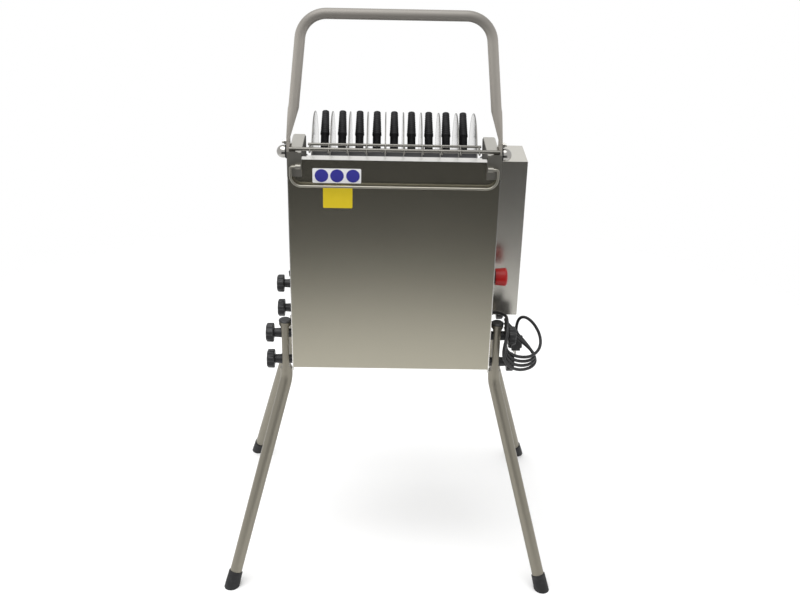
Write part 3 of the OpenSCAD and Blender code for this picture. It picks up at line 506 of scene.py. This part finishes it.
@dataclass(frozen=True)
class Film:
    """Plain sticker film, a little uneven in tone."""

    color: Color
    roughness: float = 0.38
    cloud_per_m: float = 70.0
    dark: float = 0.95
    light: float = 1.03
    uneven: float = 0.1
    relief: float = 0.03
    depth: float = 0.0002

    def make(self, name: str) -> bpy.types.Material:
        """Builds the material.

        Args:
            name: Name of the material.

        Returns:
            The material.
        """
        shader = Shader(name)
        cloud = shader.even_noise(self.cloud_per_m, detail=3.0)
        shader.feed("Base Color", shader.shades(self.color, self.dark, self.light, cloud))
        shader.feed("Roughness", self.roughness + (cloud - NOISE_MEAN) * self.uneven)
        shader.bump(cloud, self.relief, self.depth)
        return shader.material


Finish = Union[Steel, Turned, Rubber, Plastic, Cast, Film]

# Height of the rotor's axis
SHAFT_Z = 0.853
# Painted light on the sheets and the handle. Front panel: a painted highlight on the folded top and on the
# folded sides. Rails: painted shade on the inner lips, which are also made matt. Handle: the grip on the top
# bar is painted darker, painted shade.
FLANGE_HIGHLIGHT = Band(Axis.Z, 0.9168, (0.78, 0.77, 0.74))
FOLD_HIGHLIGHT = Band(Axis.X, 0.1986, (0.80, 0.78, 0.74))
LIP_SHADE = Band(Axis.X, 0.1755, (0.055, 0.052, 0.047), past=False, dull=1.0)
HANDLE_TOP_SHADE = Band(Axis.Z, 1.17, (0.19, 0.178, 0.16), soft=0.05)
PANEL = (0.376, 0.356, 0.288)
WALL = (0.47, 0.455, 0.41)

FINISHES: dict[str, Finish] = {
    # sheet_front, sheet_side and handle carry bands of painted highlight and painted shade
    "sheet_front": Steel(PANEL, 0.264, Axis.X, streak=0.01, smudge=0.01, relief=0.0, bands=(FOLD_HIGHLIGHT, FLANGE_HIGHLIGHT)),
    "sheet_side": Steel(WALL, 0.264, Axis.Y, streak=0.01, smudge=0.01, relief=0.0, bands=(LIP_SHADE,)),
    "sheet_rear": Steel(WALL, 0.264, Axis.X, streak=0.01, smudge=0.01, relief=0.0),
    "sheet_cover": Steel((0.62, 0.60, 0.545), 0.264, Axis.Y, streak=0.01, smudge=0.01, relief=0.0),
    "sheet_inner": Steel(scaled(PANEL, 0.85), 0.42, Axis.X),
    "ear": Steel((0.235, 0.227, 0.204), 0.42, Axis.Z),
    "tube": Steel((0.248, 0.231, 0.19), 0.42, Axis.Z, streak=0.06),
    "handle": Steel((0.35, 0.327, 0.294), 0.52, Axis.Z, streak=0.06, metallic=0.3, bands=(HANDLE_TOP_SHADE,)),
    "wire": Steel((0.15, 0.145, 0.132), 0.34, Axis.X, streak=0.05),
    "bail": Steel((0.265, 0.255, 0.22), 0.34, Axis.X, streak=0.05),
    "rim": Steel((0.19, 0.186, 0.175), 0.32, Axis.X, streak=0.04),
    "disc": Turned((0.64, 0.635, 0.62), 0.12, center_y=0.0, center_z=SHAFT_Z),
    "bright": Steel((0.36, 0.35, 0.33), 0.20, Axis.X, streak=0.04, smudge=0.05),
    "zinc": Steel((0.45, 0.44, 0.41), 0.36, Axis.X, streak=0.05),
    "rubber": Rubber((0.011, 0.011, 0.012), 0.56, shine=0.18),
    "foot_rubber": Rubber((0.016, 0.016, 0.017), 0.58, bloom=0.5),
    "hub": Plastic((0.020, 0.020, 0.022), 0.46),
    "knob": Plastic((0.016, 0.016, 0.017), 0.40, grain=0.10),
    "black": Plastic((0.018, 0.018, 0.019), 0.44),
    "cord": Plastic((0.013, 0.013, 0.014), 0.38, grain=0.04),
    "red": Plastic((0.30, 0.006, 0.006), 0.34, coat=0.05, grain=0.02, shine=0.22),
    "alloy": Cast((0.36, 0.37, 0.38), 0.46, metallic=0.7),
    "iron": Cast((0.10, 0.105, 0.11), 0.50, metallic=0.2),
    "black_paint": Cast((0.035, 0.036, 0.038), 0.42, metallic=0.0),
    "film_white": Film((0.78, 0.78, 0.79)),
    "film_blue": Film((0.030, 0.030, 0.26)),
    "film_yellow": Film((0.66, 0.50, 0.012)),
}


class Palette:
    """Makes each finish once and hands out its material."""

    def __init__(self) -> None:
        """Starts with no material made."""
        self.made: dict[str, bpy.types.Material] = {}

    def get(self, name: str) -> bpy.types.Material:
        """Finds or makes a material.

        Args:
            name: Key in FINISHES.

        Returns:
            The material.
        """
        if name not in self.made:
            self.made[name] = FINISHES[name].make(name)
        return self.made[name]


@dataclass
class Workshop:
    """What every sub-assembly needs: the frame and the palette."""

    nodes: dict[str, bpy.types.Object]
    palette: Palette
    count: int = 0

    def paint(self, finish: str, names: Iterable[str]) -> None:
        """Gives CAD nodes their material.

        Args:
            finish: Key in FINISHES.
            names: The CAD nodes.
        """
        for name in names:
            mesh = self.nodes[name].data
            mesh.materials.clear()
            mesh.materials.append(self.palette.get(finish))
            self.count += 1
            LOG.info("%s: %s", name, finish)

    def piece(self, name: str, mesh: bpy.types.Mesh, finish: str, body: str, slot: str) -> bpy.types.Object:
        """Puts a finished mesh in the scene on a body.

        Args:
            name: Name of the piece.
            mesh: Mesh in the CAD frame.
            finish: Key in FINISHES.
            body: CAD body that it moves with.
            slot: Material slot of the record; not used.

        Returns:
            The new object.
        """
        mesh.name = name
        mesh.materials.clear()
        mesh.materials.append(self.palette.get(finish))
        obj = bpy.data.objects.new(name, mesh)
        bpy.context.scene.collection.objects.link(obj)
        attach(obj, body)
        self.count += 1
        LOG.info("%s: %d faces", name, len(mesh.polygons))
        return obj


# Mesh helpers


def rings_mesh(rings: list[list[Vector]], smooth_angle: float = 40.0) -> bpy.types.Mesh:
    """Skins closed rings of equal length and closes both ends.

    Args:
        rings: Rings of points, in order.
        smooth_angle: Largest angle in degrees that is shaded smooth.

    Returns:
        The mesh.
    """
    mesh = bpy.data.meshes.new("rings")
    build = bmesh.new()
    rows = [[build.verts.new(point) for point in ring] for ring in rings]
    for low, high in zip(rows, rows[1:]):
        for k in range(len(low)):
            n = (k + 1) % len(low)
            build.faces.new((low[k], low[n], high[n], high[k]))
    build.faces.new(list(reversed(rows[0])))
    build.faces.new(rows[-1])
    bmesh.ops.recalc_face_normals(build, faces=build.faces)
    for face in build.faces:
        face.smooth = True
    limit = math.radians(smooth_angle)
    for edge in build.edges:
        edge.smooth = edge.calc_face_angle(0.0) < limit
    build.to_mesh(mesh)
    build.free()
    return mesh


def joined(meshes: list[bpy.types.Mesh]) -> bpy.types.Mesh:
    """Joins meshes into one.

    Args:
        meshes: The meshes, which are used up.

    Returns:
        One mesh.
    """
    build = bmesh.new()
    for mesh in meshes:
        build.from_mesh(mesh)
        bpy.data.meshes.remove(mesh)
    whole = bpy.data.meshes.new("joined")
    build.to_mesh(whole)
    build.free()
    return whole


def plate_mesh(outline: Outline, y: float, thickness: float) -> bpy.types.Mesh:
    """Makes a thin plate on the front panel from its outline in x and z."""
    rings = [[Vector((px, y - depth, pz)) for px, pz in outline] for depth in (0.0, thickness)]
    return rings_mesh(rings, smooth_angle=30.0)


def rounded_box(width: float, height: float, radius: float, center: tuple[float, float],
                steps: int = 5) -> Outline:
    """Outline of a rectangle with round corners.

    Args:
        width: Full width.
        height: Full height.
        radius: Radius of its corners.
        center: Its middle (x, z).
        steps: Steps round each corner.

    Returns:
        Points of the outline.
    """
    points = []
    for quarter, (sx, sz) in enumerate(((1, 1), (-1, 1), (-1, -1), (1, -1))):
        for step in range(steps + 1):
            turn = math.radians(90 * (quarter + step / steps))
            points.append((center[0] + sx * (width / 2 - radius) + radius * math.cos(turn),
                           center[1] + sz * (height / 2 - radius) + radius * math.sin(turn)))
    return points


def circle(radius: float, center: tuple[float, float], sides: int = 48) -> Outline:
    """Gives the points of a circle."""
    turns = [FULL_TURN * k / sides for k in range(sides)]
    return [(center[0] + radius * math.cos(t), center[1] + radius * math.sin(t)) for t in turns]


def hoop_mesh(radius: float, wire: float, steps: int = 128, sides: int = 10) -> bpy.types.Mesh:
    """Ring of round wire about the X axis.

    Args:
        radius: Radius of the wire's middle line.
        wire: Radius of the wire.
        steps: Points round the ring.
        sides: Points round the wire.

    Returns:
        The mesh.
    """
    mesh = bpy.data.meshes.new("hoop")
    build = bmesh.new()
    rows = []
    for turn in (FULL_TURN * k / steps for k in range(steps)):
        rolls = [FULL_TURN * n / sides for n in range(sides)]
        reach = [radius + wire * math.cos(roll) for roll in rolls]
        rows.append([build.verts.new((wire * math.sin(roll), r * math.cos(turn), r * math.sin(turn)))
                     for roll, r in zip(rolls, reach)])
    for row, after in zip(rows, rows[1:] + rows[:1]):
        for n in range(sides):
            m = (n + 1) % sides
            build.faces.new((row[n], row[m], after[m], after[n])).smooth = True
    bmesh.ops.recalc_face_normals(build, faces=build.faces)
    build.to_mesh(mesh)
    build.free()
    return mesh


class RowTree:
    """Geometry Nodes tree that sets out copies of one piece along a line."""

    def __init__(self, name: str) -> None:
        """Builds the tree.

        Args:
            name: Name of the node group.
        """
        self.tree = bpy.data.node_groups.new(name, "GeometryNodeTree")
        face = self.tree.interface
        face.new_socket(name="Geometry", in_out="OUTPUT", socket_type="NodeSocketGeometry")
        kinds = {"Piece": "NodeSocketObject", "Count": "NodeSocketInt", "Start": "NodeSocketVector",
                 "Step": "NodeSocketVector", "Turn": "NodeSocketVector", "Finish": "NodeSocketMaterial"}
        self.keys = {name: face.new_socket(name=name, in_out="INPUT", socket_type=kind).identifier
                     for name, kind in kinds.items()}
        given = add_node(self.tree, "NodeGroupInput").outputs
        line = add_node(self.tree, "GeometryNodeMeshLine", {"mode": "OFFSET"}, {
            "Count": given["Count"],
            "Start Location": given["Start"],
            "Offset": given["Step"],
        })
        info = add_node(self.tree, "GeometryNodeObjectInfo", feeds={"Object": given["Piece"]})
        copies = add_node(self.tree, "GeometryNodeInstanceOnPoints", feeds={
            "Points": line.outputs["Mesh"],
            "Instance": info.outputs["Geometry"],
            "Rotation": given["Turn"],
        })
        real = add_node(self.tree, "GeometryNodeRealizeInstances", feeds={
            "Geometry": copies.outputs["Instances"],
        })
        paint = add_node(self.tree, "GeometryNodeSetMaterial", feeds={
            "Geometry": real.outputs["Geometry"],
            "Material": given["Finish"],
        })
        add_node(self.tree, "NodeGroupOutput", feeds={"Geometry": paint.outputs["Geometry"]})

    def row(self, piece: bpy.types.Mesh, count: int, start: Point, step: Point, turn: Point,
            finish: bpy.types.Material) -> bpy.types.Mesh:
        """Runs the tree and keeps its result as a plain mesh.

        Args:
            piece: Mesh to repeat, round the origin.
            count: Number of copies.
            start: Place of the first copy.
            step: Way from copy to copy.
            turn: Rotation of each copy, in radians.
            finish: Material of the result.

        Returns:
            The mesh.
        """
        model = bpy.data.objects.new("model", piece)
        carrier = bpy.data.objects.new("carrier", bpy.data.meshes.new("carrier"))
        for obj in (model, carrier):
            bpy.context.scene.collection.objects.link(obj)
        modifier = carrier.modifiers.new("row", "NODES")
        modifier.node_group = self.tree
        values = {
            "Piece": model,
            "Count": count,
            "Start": start,
            "Step": step,
            "Turn": turn,
            "Finish": finish,
        }
        for name, value in values.items():
            modifier[self.keys[name]] = value
        carrier.update_tag()
        bpy.context.view_layer.update()
        depsgraph = bpy.context.evaluated_depsgraph_get()
        mesh = bpy.data.meshes.new_from_object(carrier.evaluated_get(depsgraph), depsgraph=depsgraph)
        carrier.modifiers.remove(modifier)
        for obj in (carrier, model):
            bpy.data.objects.remove(obj, do_unlink=True)
        return mesh


# Studio


@dataclass
class Studio:
    """Camera, light, white surroundings and pale floor."""

    eye: Point = (-0.016871, -2.048033, 1.557103)
    focal_px: float = 1070.594
    picture_px: float = 800.0
    pitch: float = 25.982
    yaw: float = 0.988
    roll: float = 1.28
    sensor_mm: float = 36.0
    nearest: float = 0.05
    farthest: float = 60.0
    floor_r: float = 1.9
    floor_solid_r: float = 1.0
    floor_sides: int = 96
    floor_color: Color = (0.90, 0.90, 0.90)
    floor_dark: float = 0.99
    floor_rough: float = 0.9
    floor_per_m: float = 6.0
    sky: Color = (0.93, 0.93, 0.93)
    ground: Color = (0.03, 0.03, 0.03)
    ground_x: tuple[float, float] = (0.35, 0.6)
    ground_y: tuple[float, float] = (-0.6, -0.1)
    ground_z: tuple[float, float] = (-0.1, 0.25)
    backdrop: Color = (1.0, 1.0, 1.0)
    lamp_place: Point = (-0.5, -0.4, 3.2)
    lamp_target: Point = (0.0, 0.0, 0.6)
    lamp_size: float = 2.6
    lamp_watts: float = 75.0

    def camera(self) -> None:
        """Makes the camera at the place that was fitted to the photograph."""
        data = bpy.data.cameras.new("camera")
        data.sensor_width = self.sensor_mm
        data.lens = self.focal_px / self.picture_px * self.sensor_mm
        data.clip_start = self.nearest
        data.clip_end = self.farthest
        pitch, yaw, roll = (math.radians(v) for v in (self.pitch, self.yaw, self.roll))
        ahead = Vector((math.sin(yaw) * math.cos(pitch), math.cos(yaw) * math.cos(pitch), -math.sin(pitch)))
        right = Vector((math.cos(yaw), -math.sin(yaw), 0.0))
        up = right.cross(ahead)
        tilted_right = math.cos(roll) * right + math.sin(roll) * up
        tilted_up = -math.sin(roll) * right + math.cos(roll) * up
        matrix = Matrix((tilted_right, tilted_up, -ahead)).transposed().to_4x4()
        matrix.translation = Vector(self.eye)
        obj = bpy.data.objects.new("camera", data)
        obj.matrix_world = matrix
        bpy.context.scene.collection.objects.link(obj)
        bpy.context.scene.camera = obj

    def world(self) -> None:
        """White to the camera and bright to everything else, but for a dark far ground straight ahead."""
        world = bpy.data.worlds.new("studio")
        bpy.context.scene.world = world
        world.use_nodes = True
        tree = world.node_tree
        back = tree.nodes["Background"]
        ray = add_node(tree, "ShaderNodeTexCoord").outputs["Generated"]
        way = add_node(tree, "ShaderNodeSeparateXYZ", feeds={0: ray})
        x, y, z = (Sock(tree, out) for out in way.outputs)
        ahead = 1.0 - y.fade(*self.ground_y)
        low = 1.0 - z.fade(*self.ground_z)
        aside = 1.0 - x.magnitude().fade(*self.ground_x)
        seen = Sock(tree, add_node(tree, "ShaderNodeLightPath").outputs["Is Camera Ray"])
        shade = mixed(tree, self.sky, self.ground, ahead * low * aside)
        connect(tree, back.inputs["Color"], mixed(tree, shade, self.backdrop, seen))
        connect(tree, back.inputs["Strength"], 1.0)

    def lamp(self) -> None:
        """Hangs one large square area light."""
        data = bpy.data.lights.new("top", "AREA")
        data.shape = "SQUARE"
        data.size = self.lamp_size
        data.energy = self.lamp_watts
        obj = bpy.data.objects.new("top", data)
        obj.location = self.lamp_place
        aim = Vector(self.lamp_target) - Vector(self.lamp_place)
        obj.rotation_euler = aim.to_track_quat("-Z", "Y").to_euler()
        bpy.context.scene.collection.objects.link(obj)

    def floor(self) -> None:
        """Pale round floor that fades out at its rim."""
        mesh = bpy.data.meshes.new("floor")
        build = bmesh.new()
        bmesh.ops.create_circle(build, cap_ends=True, radius=self.floor_r, segments=self.floor_sides)
        build.to_mesh(mesh)
        build.free()
        shader = Shader("floor")
        x, y, _ = shader.split()
        radius = (x * x + y * y) ** 0.5
        paper = shader.even_noise(self.floor_per_m, detail=2.0)
        shader.feed("Base Color", shader.shades(self.floor_color, self.floor_dark, 1.0, paper))
        shader.feed("Roughness", self.floor_rough)
        clear = shader.node("ShaderNodeBsdfTransparent")
        edge = radius.fade(self.floor_solid_r, self.floor_r)
        mix = shader.node("ShaderNodeMixShader", {0: edge, 1: shader.bsdf.outputs[0], 2: clear.outputs[0]})
        connect(shader.tree, shader.tree.nodes["Material Output"].inputs["Surface"], mix.outputs[0])
        mesh.materials.append(shader.material)
        obj = bpy.data.objects.new("floor", mesh)
        bpy.context.scene.collection.objects.link(obj)

    def light(self) -> None:
        """Hangs the light, lays the floor and sets the view."""
        self.world()
        self.lamp()
        self.floor()
        bpy.context.scene.view_settings.view_transform = "Standard"


# Cord


@dataclass
class Cord:
    """Mains cord: short lead, hank over the knob's neck and ring to the plug. Millimetres, as in the CAD."""

    diameter: float = 6.5
    turns: float = 3.5
    half_h: float = 27.0
    half_w: float = 26.0
    step: float = 9.0
    side_step: float = 7.4
    lean: float = 58.0
    tilt: float = 0.9
    swing: float = 0.2
    power: float = 2.3
    middle: Point = (233.25, -118.0, 521.05)
    lead_r: float = 25.5
    lead_straight: float = 1.0
    plug: Point = (264.0, -48.4, 513.55)
    ring_reach: float = 75.0
    steps_per_turn: int = 48
    ring_steps: int = 40
    lead_steps: int = 20
    roundness: int = 4

    def hank_point(self, turn: float) -> Vector:
        """One point of the hank.

        Args:
            turn: Turns from the outer end.

        Returns:
            The point.
        """
        left = self.turns - turn
        angle = FULL_TURN * turn
        out = ((1 - math.cos(angle)) / 2) ** self.power
        side = -(self.half_w + self.side_step * left) * math.sin(angle)
        rise = (self.half_h + self.step * left) * math.cos(angle)
        bulge = self.swing * side * math.sin(angle) ** 4
        x, y, z = self.middle
        return Vector((x + out * (self.lean + self.tilt * side) + bulge, y + side, z + rise))

    def lead(self) -> list[Vector]:
        """Points from the gland to the hank's outer end.

        Returns:
            The points, without the hank's own first point.
        """
        end = self.hank_point(0.0)
        start_x = end.x - self.lead_r
        points = [Vector((start_x - self.lead_straight, end.y + self.lead_r, end.z))]
        for k in range(self.lead_steps):
            turn = math.radians(90 * k / self.lead_steps)
            points.append(Vector((start_x + self.lead_r * math.sin(turn),
                                  end.y + self.lead_r * math.cos(turn), end.z)))
        return points

    def tail(self) -> list[Vector]:
        """Points of the ring from the hank's inner end to the plug.

        Returns:
            The points, without the hank's own last point.
        """
        sweep = FULL_TURN * self.half_w
        way = Vector((sweep * self.tilt, sweep, self.step)).normalized()
        start = self.hank_point(self.turns) + self.diameter * way
        plug = Vector(self.plug)
        end = plug + Vector((0.0, 0.0, self.diameter))
        knots = (start, start + self.ring_reach * way, end + Vector((0.0, 0.0, self.ring_reach)), end)
        points = []
        for k in range(self.ring_steps + 1):
            t = k / self.ring_steps
            weights = ((1 - t) ** 3, 3 * t * (1 - t) ** 2, 3 * t * t * (1 - t), t ** 3)
            points.append(sum((w * knot for w, knot in zip(weights, knots)), Vector()))
        return [*points, plug]

    def path(self) -> list[Vector]:
        """Whole route in metres.

        Returns:
            The points from the gland to the plug.
        """
        count = round(self.turns * self.steps_per_turn)
        hank = [self.hank_point(self.turns * k / count) for k in range(count + 1)]
        return [point * MM for point in (*self.lead(), *hank, *self.tail())]

    def build(self, shop: Workshop) -> None:
        """Makes the cord and says what it is.

        Args:
            shop: Frame and palette.
        """
        path = self.path()
        data = bpy.data.curves.new("mains_cord", "CURVE")
        data.dimensions = "3D"
        data.bevel_depth = self.diameter / 2 * MM
        data.bevel_resolution = self.roundness
        data.use_fill_caps = True
        spline = data.splines.new("POLY")
        spline.points.add(len(path) - 1)
        for point, place in zip(spline.points, path):
            point.co = (*place, 1.0)
        data.materials.append(shop.palette.get("cord"))
        obj = bpy.data.objects.new("mains_cord", data)
        bpy.context.scene.collection.objects.link(obj)
        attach(obj, "frame")
        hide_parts("cord_lead", "cord_hank", "cord_tail")
        length = sum((b - a).length for a, b in zip(path, path[1:]))
        shop.paint("black", ["cord_gland", "plug_body"])
        shop.paint("zinc", ["plug_pins"])
        LOG.info("mains_cord: %.3f m", length)


# Body


@dataclass
class Body:
    """Sheet-metal body, ears, bail, guard and plain stickers, each given as x, z, width and height."""

    front_y: float = -0.145
    film_t: float = 0.00025
    strip: tuple[float, float, float, float] = (-0.1075, 0.886, 0.091, 0.0285)
    spots: tuple[float, ...] = (-0.1361, -0.1071, -0.0772)
    spot_r: float = 0.0127
    label: tuple[float, float, float, float] = (-0.106, 0.8445, 0.0555, 0.0455)
    corner_r: float = 0.002

    def dress(self, shop: Workshop) -> None:
        """Gives the CAD sheets and rods their finishes.

        Args:
            shop: Frame and palette.
        """
        shop.paint("sheet_front", ["front_panel"])
        shop.paint("sheet_rear", ["rear_panel"])
        shop.paint("sheet_side", ["left_side_wall", "right_side_wall"])
        shop.paint("sheet_cover", ["belt_cover"])
        shop.paint("sheet_inner", ["bottom_plate", "feather_baffle", "motor_plate"])
        shop.paint("ear", ["ear_plates"])
        shop.paint("wire", ["finger_guard"])
        shop.paint("bail", ["bail"])
        shop.paint("zinc", ["bearing_bolts", "belt_cover_screws", "clamp_nuts", "motor_bolts"])

    def build(self, shop: Workshop) -> None:
        """Sticks the plain stickers on the front panel.

        Args:
            shop: Frame and palette.
        """
        x, z, w, h = self.strip
        strip = plate_mesh(rounded_box(w, h, self.corner_r, (x, z)), self.front_y, self.film_t)
        shop.piece("sticker_strip", strip, "film_white", "frame", "sheet_steel")
        discs = [plate_mesh(circle(self.spot_r, (sx, z)), self.front_y - self.film_t, self.film_t)
                 for sx in self.spots]
        shop.piece("sticker_spots", joined(discs), "film_blue", "frame", "sheet_steel")
        x, z, w, h = self.label
        plate = plate_mesh(rounded_box(w, h, self.corner_r, (x, z)), self.front_y, self.film_t)
        shop.piece("sticker_plain", plate, "film_yellow", "frame", "sheet_steel")


# Rotor


@dataclass
class Rotor:
    """Discs with round rims, hubs and ribbed rubber fingers. Millimetres, as in the CAD."""

    pitch: float = 35.0
    fingers: int = 9
    disc_r: float = 111.0
    rim_r: float = 1.25
    rim_set: float = 0.8
    hub_r: float = 34.0
    reach: float = 124.0
    socket: float = 12.0
    stem_r: float = 8.3
    stem_l: float = 37.0
    root_r: float = 9.45
    tip_r: float = 7.2
    ribs: int = 9
    rib_h: float = 0.55
    rib_shape: tuple[tuple[float, float], ...] = ((0.0, 0.0), (0.18, 1.0), (0.42, 1.0), (0.6, 0.0))
    first_angle: float = 43.0
    rows: tuple[str, ...] = ("finger_row_rear", "finger_row_low", "finger_row_front")
    sides: int = 28

    def finger(self) -> bpy.types.Mesh:
        """One finger that stands up from the rotor's axis.

        Returns:
            The mesh, in metres.
        """
        step_z = self.hub_r + self.stem_l
        profile = [
            (self.stem_r, self.hub_r - self.socket),
            (self.stem_r, step_z - 0.6),
            (self.root_r - 0.5, step_z),
            (self.root_r, step_z + 0.8),
            (self.root_r, step_z + 4.0),
        ]
        start, end = step_z + 5.0, self.reach - 4.0
        rib_l = (end - start) / self.ribs
        for k in range(self.ribs):
            low = start + k * rib_l
            for share, lift in self.rib_shape:
                z = low + share * rib_l
                cone = self.root_r + (self.tip_r - self.root_r) * (z - step_z) / (self.reach - step_z)
                profile.append((cone - self.rib_h + lift * self.rib_h, z))
        profile += [
            (self.tip_r, end),
            (self.tip_r, self.reach - 2.0),
            (self.tip_r - 0.7, self.reach - 0.6),
            (self.tip_r - 2.0, self.reach),
        ]
        turns = [FULL_TURN * k / self.sides for k in range(self.sides)]
        rings = [[Vector((r * math.cos(t), r * math.sin(t), z)) * MM for t in turns] for r, z in profile]
        return rings_mesh(rings, smooth_angle=50.0)

    def build(self, shop: Workshop) -> None:
        """Sets out the discs' rims and the fingers.

        Args:
            shop: Frame and palette.
        """
        tree = RowTree("rotor_row")
        step = (self.pitch * MM, 0.0, 0.0)
        first = -self.fingers / 2 * self.pitch * MM
        hoop = hoop_mesh((self.disc_r - self.rim_set * self.rim_r) * MM, self.rim_r * MM)
        rims = tree.row(hoop, self.fingers + 1, (first, 0.0, SHAFT_Z), step,
                        (0.0, 0.0, 0.0), shop.palette.get("rim"))
        shop.piece("disc_rims", rims, "rim", "rotor", "polished_steel")
        first += self.pitch / 2 * MM
        for index, name in enumerate(self.rows):
            turn = -math.radians(self.first_angle + 360 * index / len(self.rows))
            mesh = tree.row(self.finger(), self.fingers, (first, 0.0, SHAFT_Z), step,
                            (turn, 0.0, 0.0), shop.palette.get("rubber"))
            obj = shop.piece("ribbed_" + name, mesh, "rubber", "rotor", "black_rubber")
            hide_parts(name)

    def dress(self, shop: Workshop) -> None:
        """Gives the rotor's CAD nodes their finishes.

        Args:
            shop: Frame and palette.
        """
        shop.paint("disc", ["plucking_discs"])
        shop.paint("hub", ["finger_hubs"])
        shop.paint("bright", ["rotor_shaft", "motor_shaft"])
        shop.paint("alloy", ["rotor_collars", "rotor_pulley"])
        shop.paint("alloy", ["motor_pulley", "motor_housing", "motor_shield"])
        shop.paint("iron", ["left_bearing", "right_bearing"])
        shop.paint("rubber", ["drive_belt"])
        shop.paint("black_paint", ["motor_fan_cover", "motor_terminal_box"])


# Knobs


@dataclass
class Knobs:
    """Eight lobed clamp knobs. Millimetres, as in the CAD."""

    radius: float = 19.8
    lobes: int = 7
    dip: float = 2.6
    dip_power: float = 1.6
    head_x: float = 238.0
    head_t: float = 16.0
    neck_x: float = 222.3
    neck_r: float = 10.0
    cap_r: float = 8.5
    cap_flat_r: float = 6.0
    stud_r: float = 4.0
    stud_x: float = 188.5
    place_y: float = 118.0
    heights: dict[str, float] = field(default_factory=lambda: {"upper": 539.0, "lower": 478.5})
    sides: int = 112

    def ring(self, x: float, radius: float, wave: float) -> list[Vector]:
        """One ring of a knob round its axis.

        Args:
            x: Place along the axis.
            radius: Largest radius.
            wave: Share of the lobes' depth.

        Returns:
            The points.
        """
        points = []
        for k in range(self.sides):
            turn = FULL_TURN * k / self.sides
            dip = ((1 - math.cos(self.lobes * turn)) / 2) ** self.dip_power * self.dip * wave
            points.append(Vector((x, (radius - dip) * math.cos(turn), (radius - dip) * math.sin(turn))))
        return points

    def knob(self) -> bpy.types.Mesh:
        """One knob on the right-hand side, round y = 0 and z = 0.

        Returns:
            The mesh, in millimetres.
        """
        back, front, r = self.head_x, self.head_x + self.head_t, self.radius
        # Place along the axis, largest radius and share of the lobes' depth, from the stud to the cap
        profile = (
            (self.stud_x, self.stud_r, 0.0),
            (self.neck_x, self.stud_r, 0.0),
            (self.neck_x, self.neck_r, 0.0),
            (back - 0.5, self.neck_r - 1.0, 0.0),
            (back, self.neck_r + 0.6, 0.0),
            (back + 0.1, r - 2.6, 0.8),
            (back + 0.6, r - 0.9, 1.0),
            (back + 1.8, r - 0.1, 1.0),
            (back + 3.0, r, 1.0),
            (front - 4.0, r - 0.2, 1.0),
            (front - 2.0, r - 0.7, 1.0),
            (front - 0.8, r - 2.0, 0.9),
            (front - 0.2, r - 4.2, 0.7),
            (front, r - 7.0, 0.3),
            (front - 0.6, self.cap_r, 0.0),
            (front - 0.6, self.cap_flat_r, 0.0),
        )
        rings = [self.ring(x, radius, wave) for x, radius, wave in profile]
        return rings_mesh(rings, smooth_angle=55.0)

    def build(self, shop: Workshop) -> None:
        """Puts a knob on each of its bodies.

        Args:
            shop: Frame and palette.
        """
        for end in End:
            for side in Side:
                for level, height in self.heights.items():
                    name = f"knob_{end.name.lower()}_{side.name.lower()}_{level}"
                    mesh = self.knob()
                    mesh.transform(Matrix.Translation((0.0, end.value * self.place_y, height)))
                    mesh.transform(Matrix.Diagonal((side.value * MM, MM, MM, 1.0)))
                    if side is Side.LEFT:
                        mesh.flip_normals()
                    obj = shop.piece("lobed_" + name, mesh, "knob", name, "black_plastic")
                    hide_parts(name)


# Legs, handle and switch


@dataclass
class Stand:
    """Legs, feet, handle and stop switch."""

    corners: tuple[str, ...] = ("front_left", "front_right", "rear_left", "rear_right")

    def dress(self, shop: Workshop) -> None:
        """Gives the tubes and their fittings their finishes.

        Args:
            shop: Frame and palette.
        """
        shop.paint("tube", ["leg_" + corner for corner in self.corners])
        shop.paint("handle", ["carry_handle"])
        shop.paint("foot_rubber", ["rubber_feet", "handle_washers"])
        shop.paint("black", ["leg_plugs", "leg_spacers", "switch_body"])
        shop.paint("bright", ["handle_dome_nuts"])
        shop.paint("zinc", ["handle_small_bolts"])
        shop.paint("red", ["stop_button"])


def main() -> None:
    """Builds the looks in order."""
    logging.basicConfig(level=logging.INFO, format="%(name)s %(message)s")
    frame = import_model()
    shop = Workshop(frame["nodes"], Palette())
    studio, body, rotor, knobs, stand = Studio(), Body(), Rotor(), Knobs(), Stand()
    studio.camera()
    Cord().build(shop)
    body.dress(shop)
    body.build(shop)
    rotor.dress(shop)
    rotor.build(shop)
    knobs.build(shop)
    stand.dress(shop)
    studio.light()
    LOG.info("%d pieces dressed", shop.count)


if __name__ == "__main__":
    main()
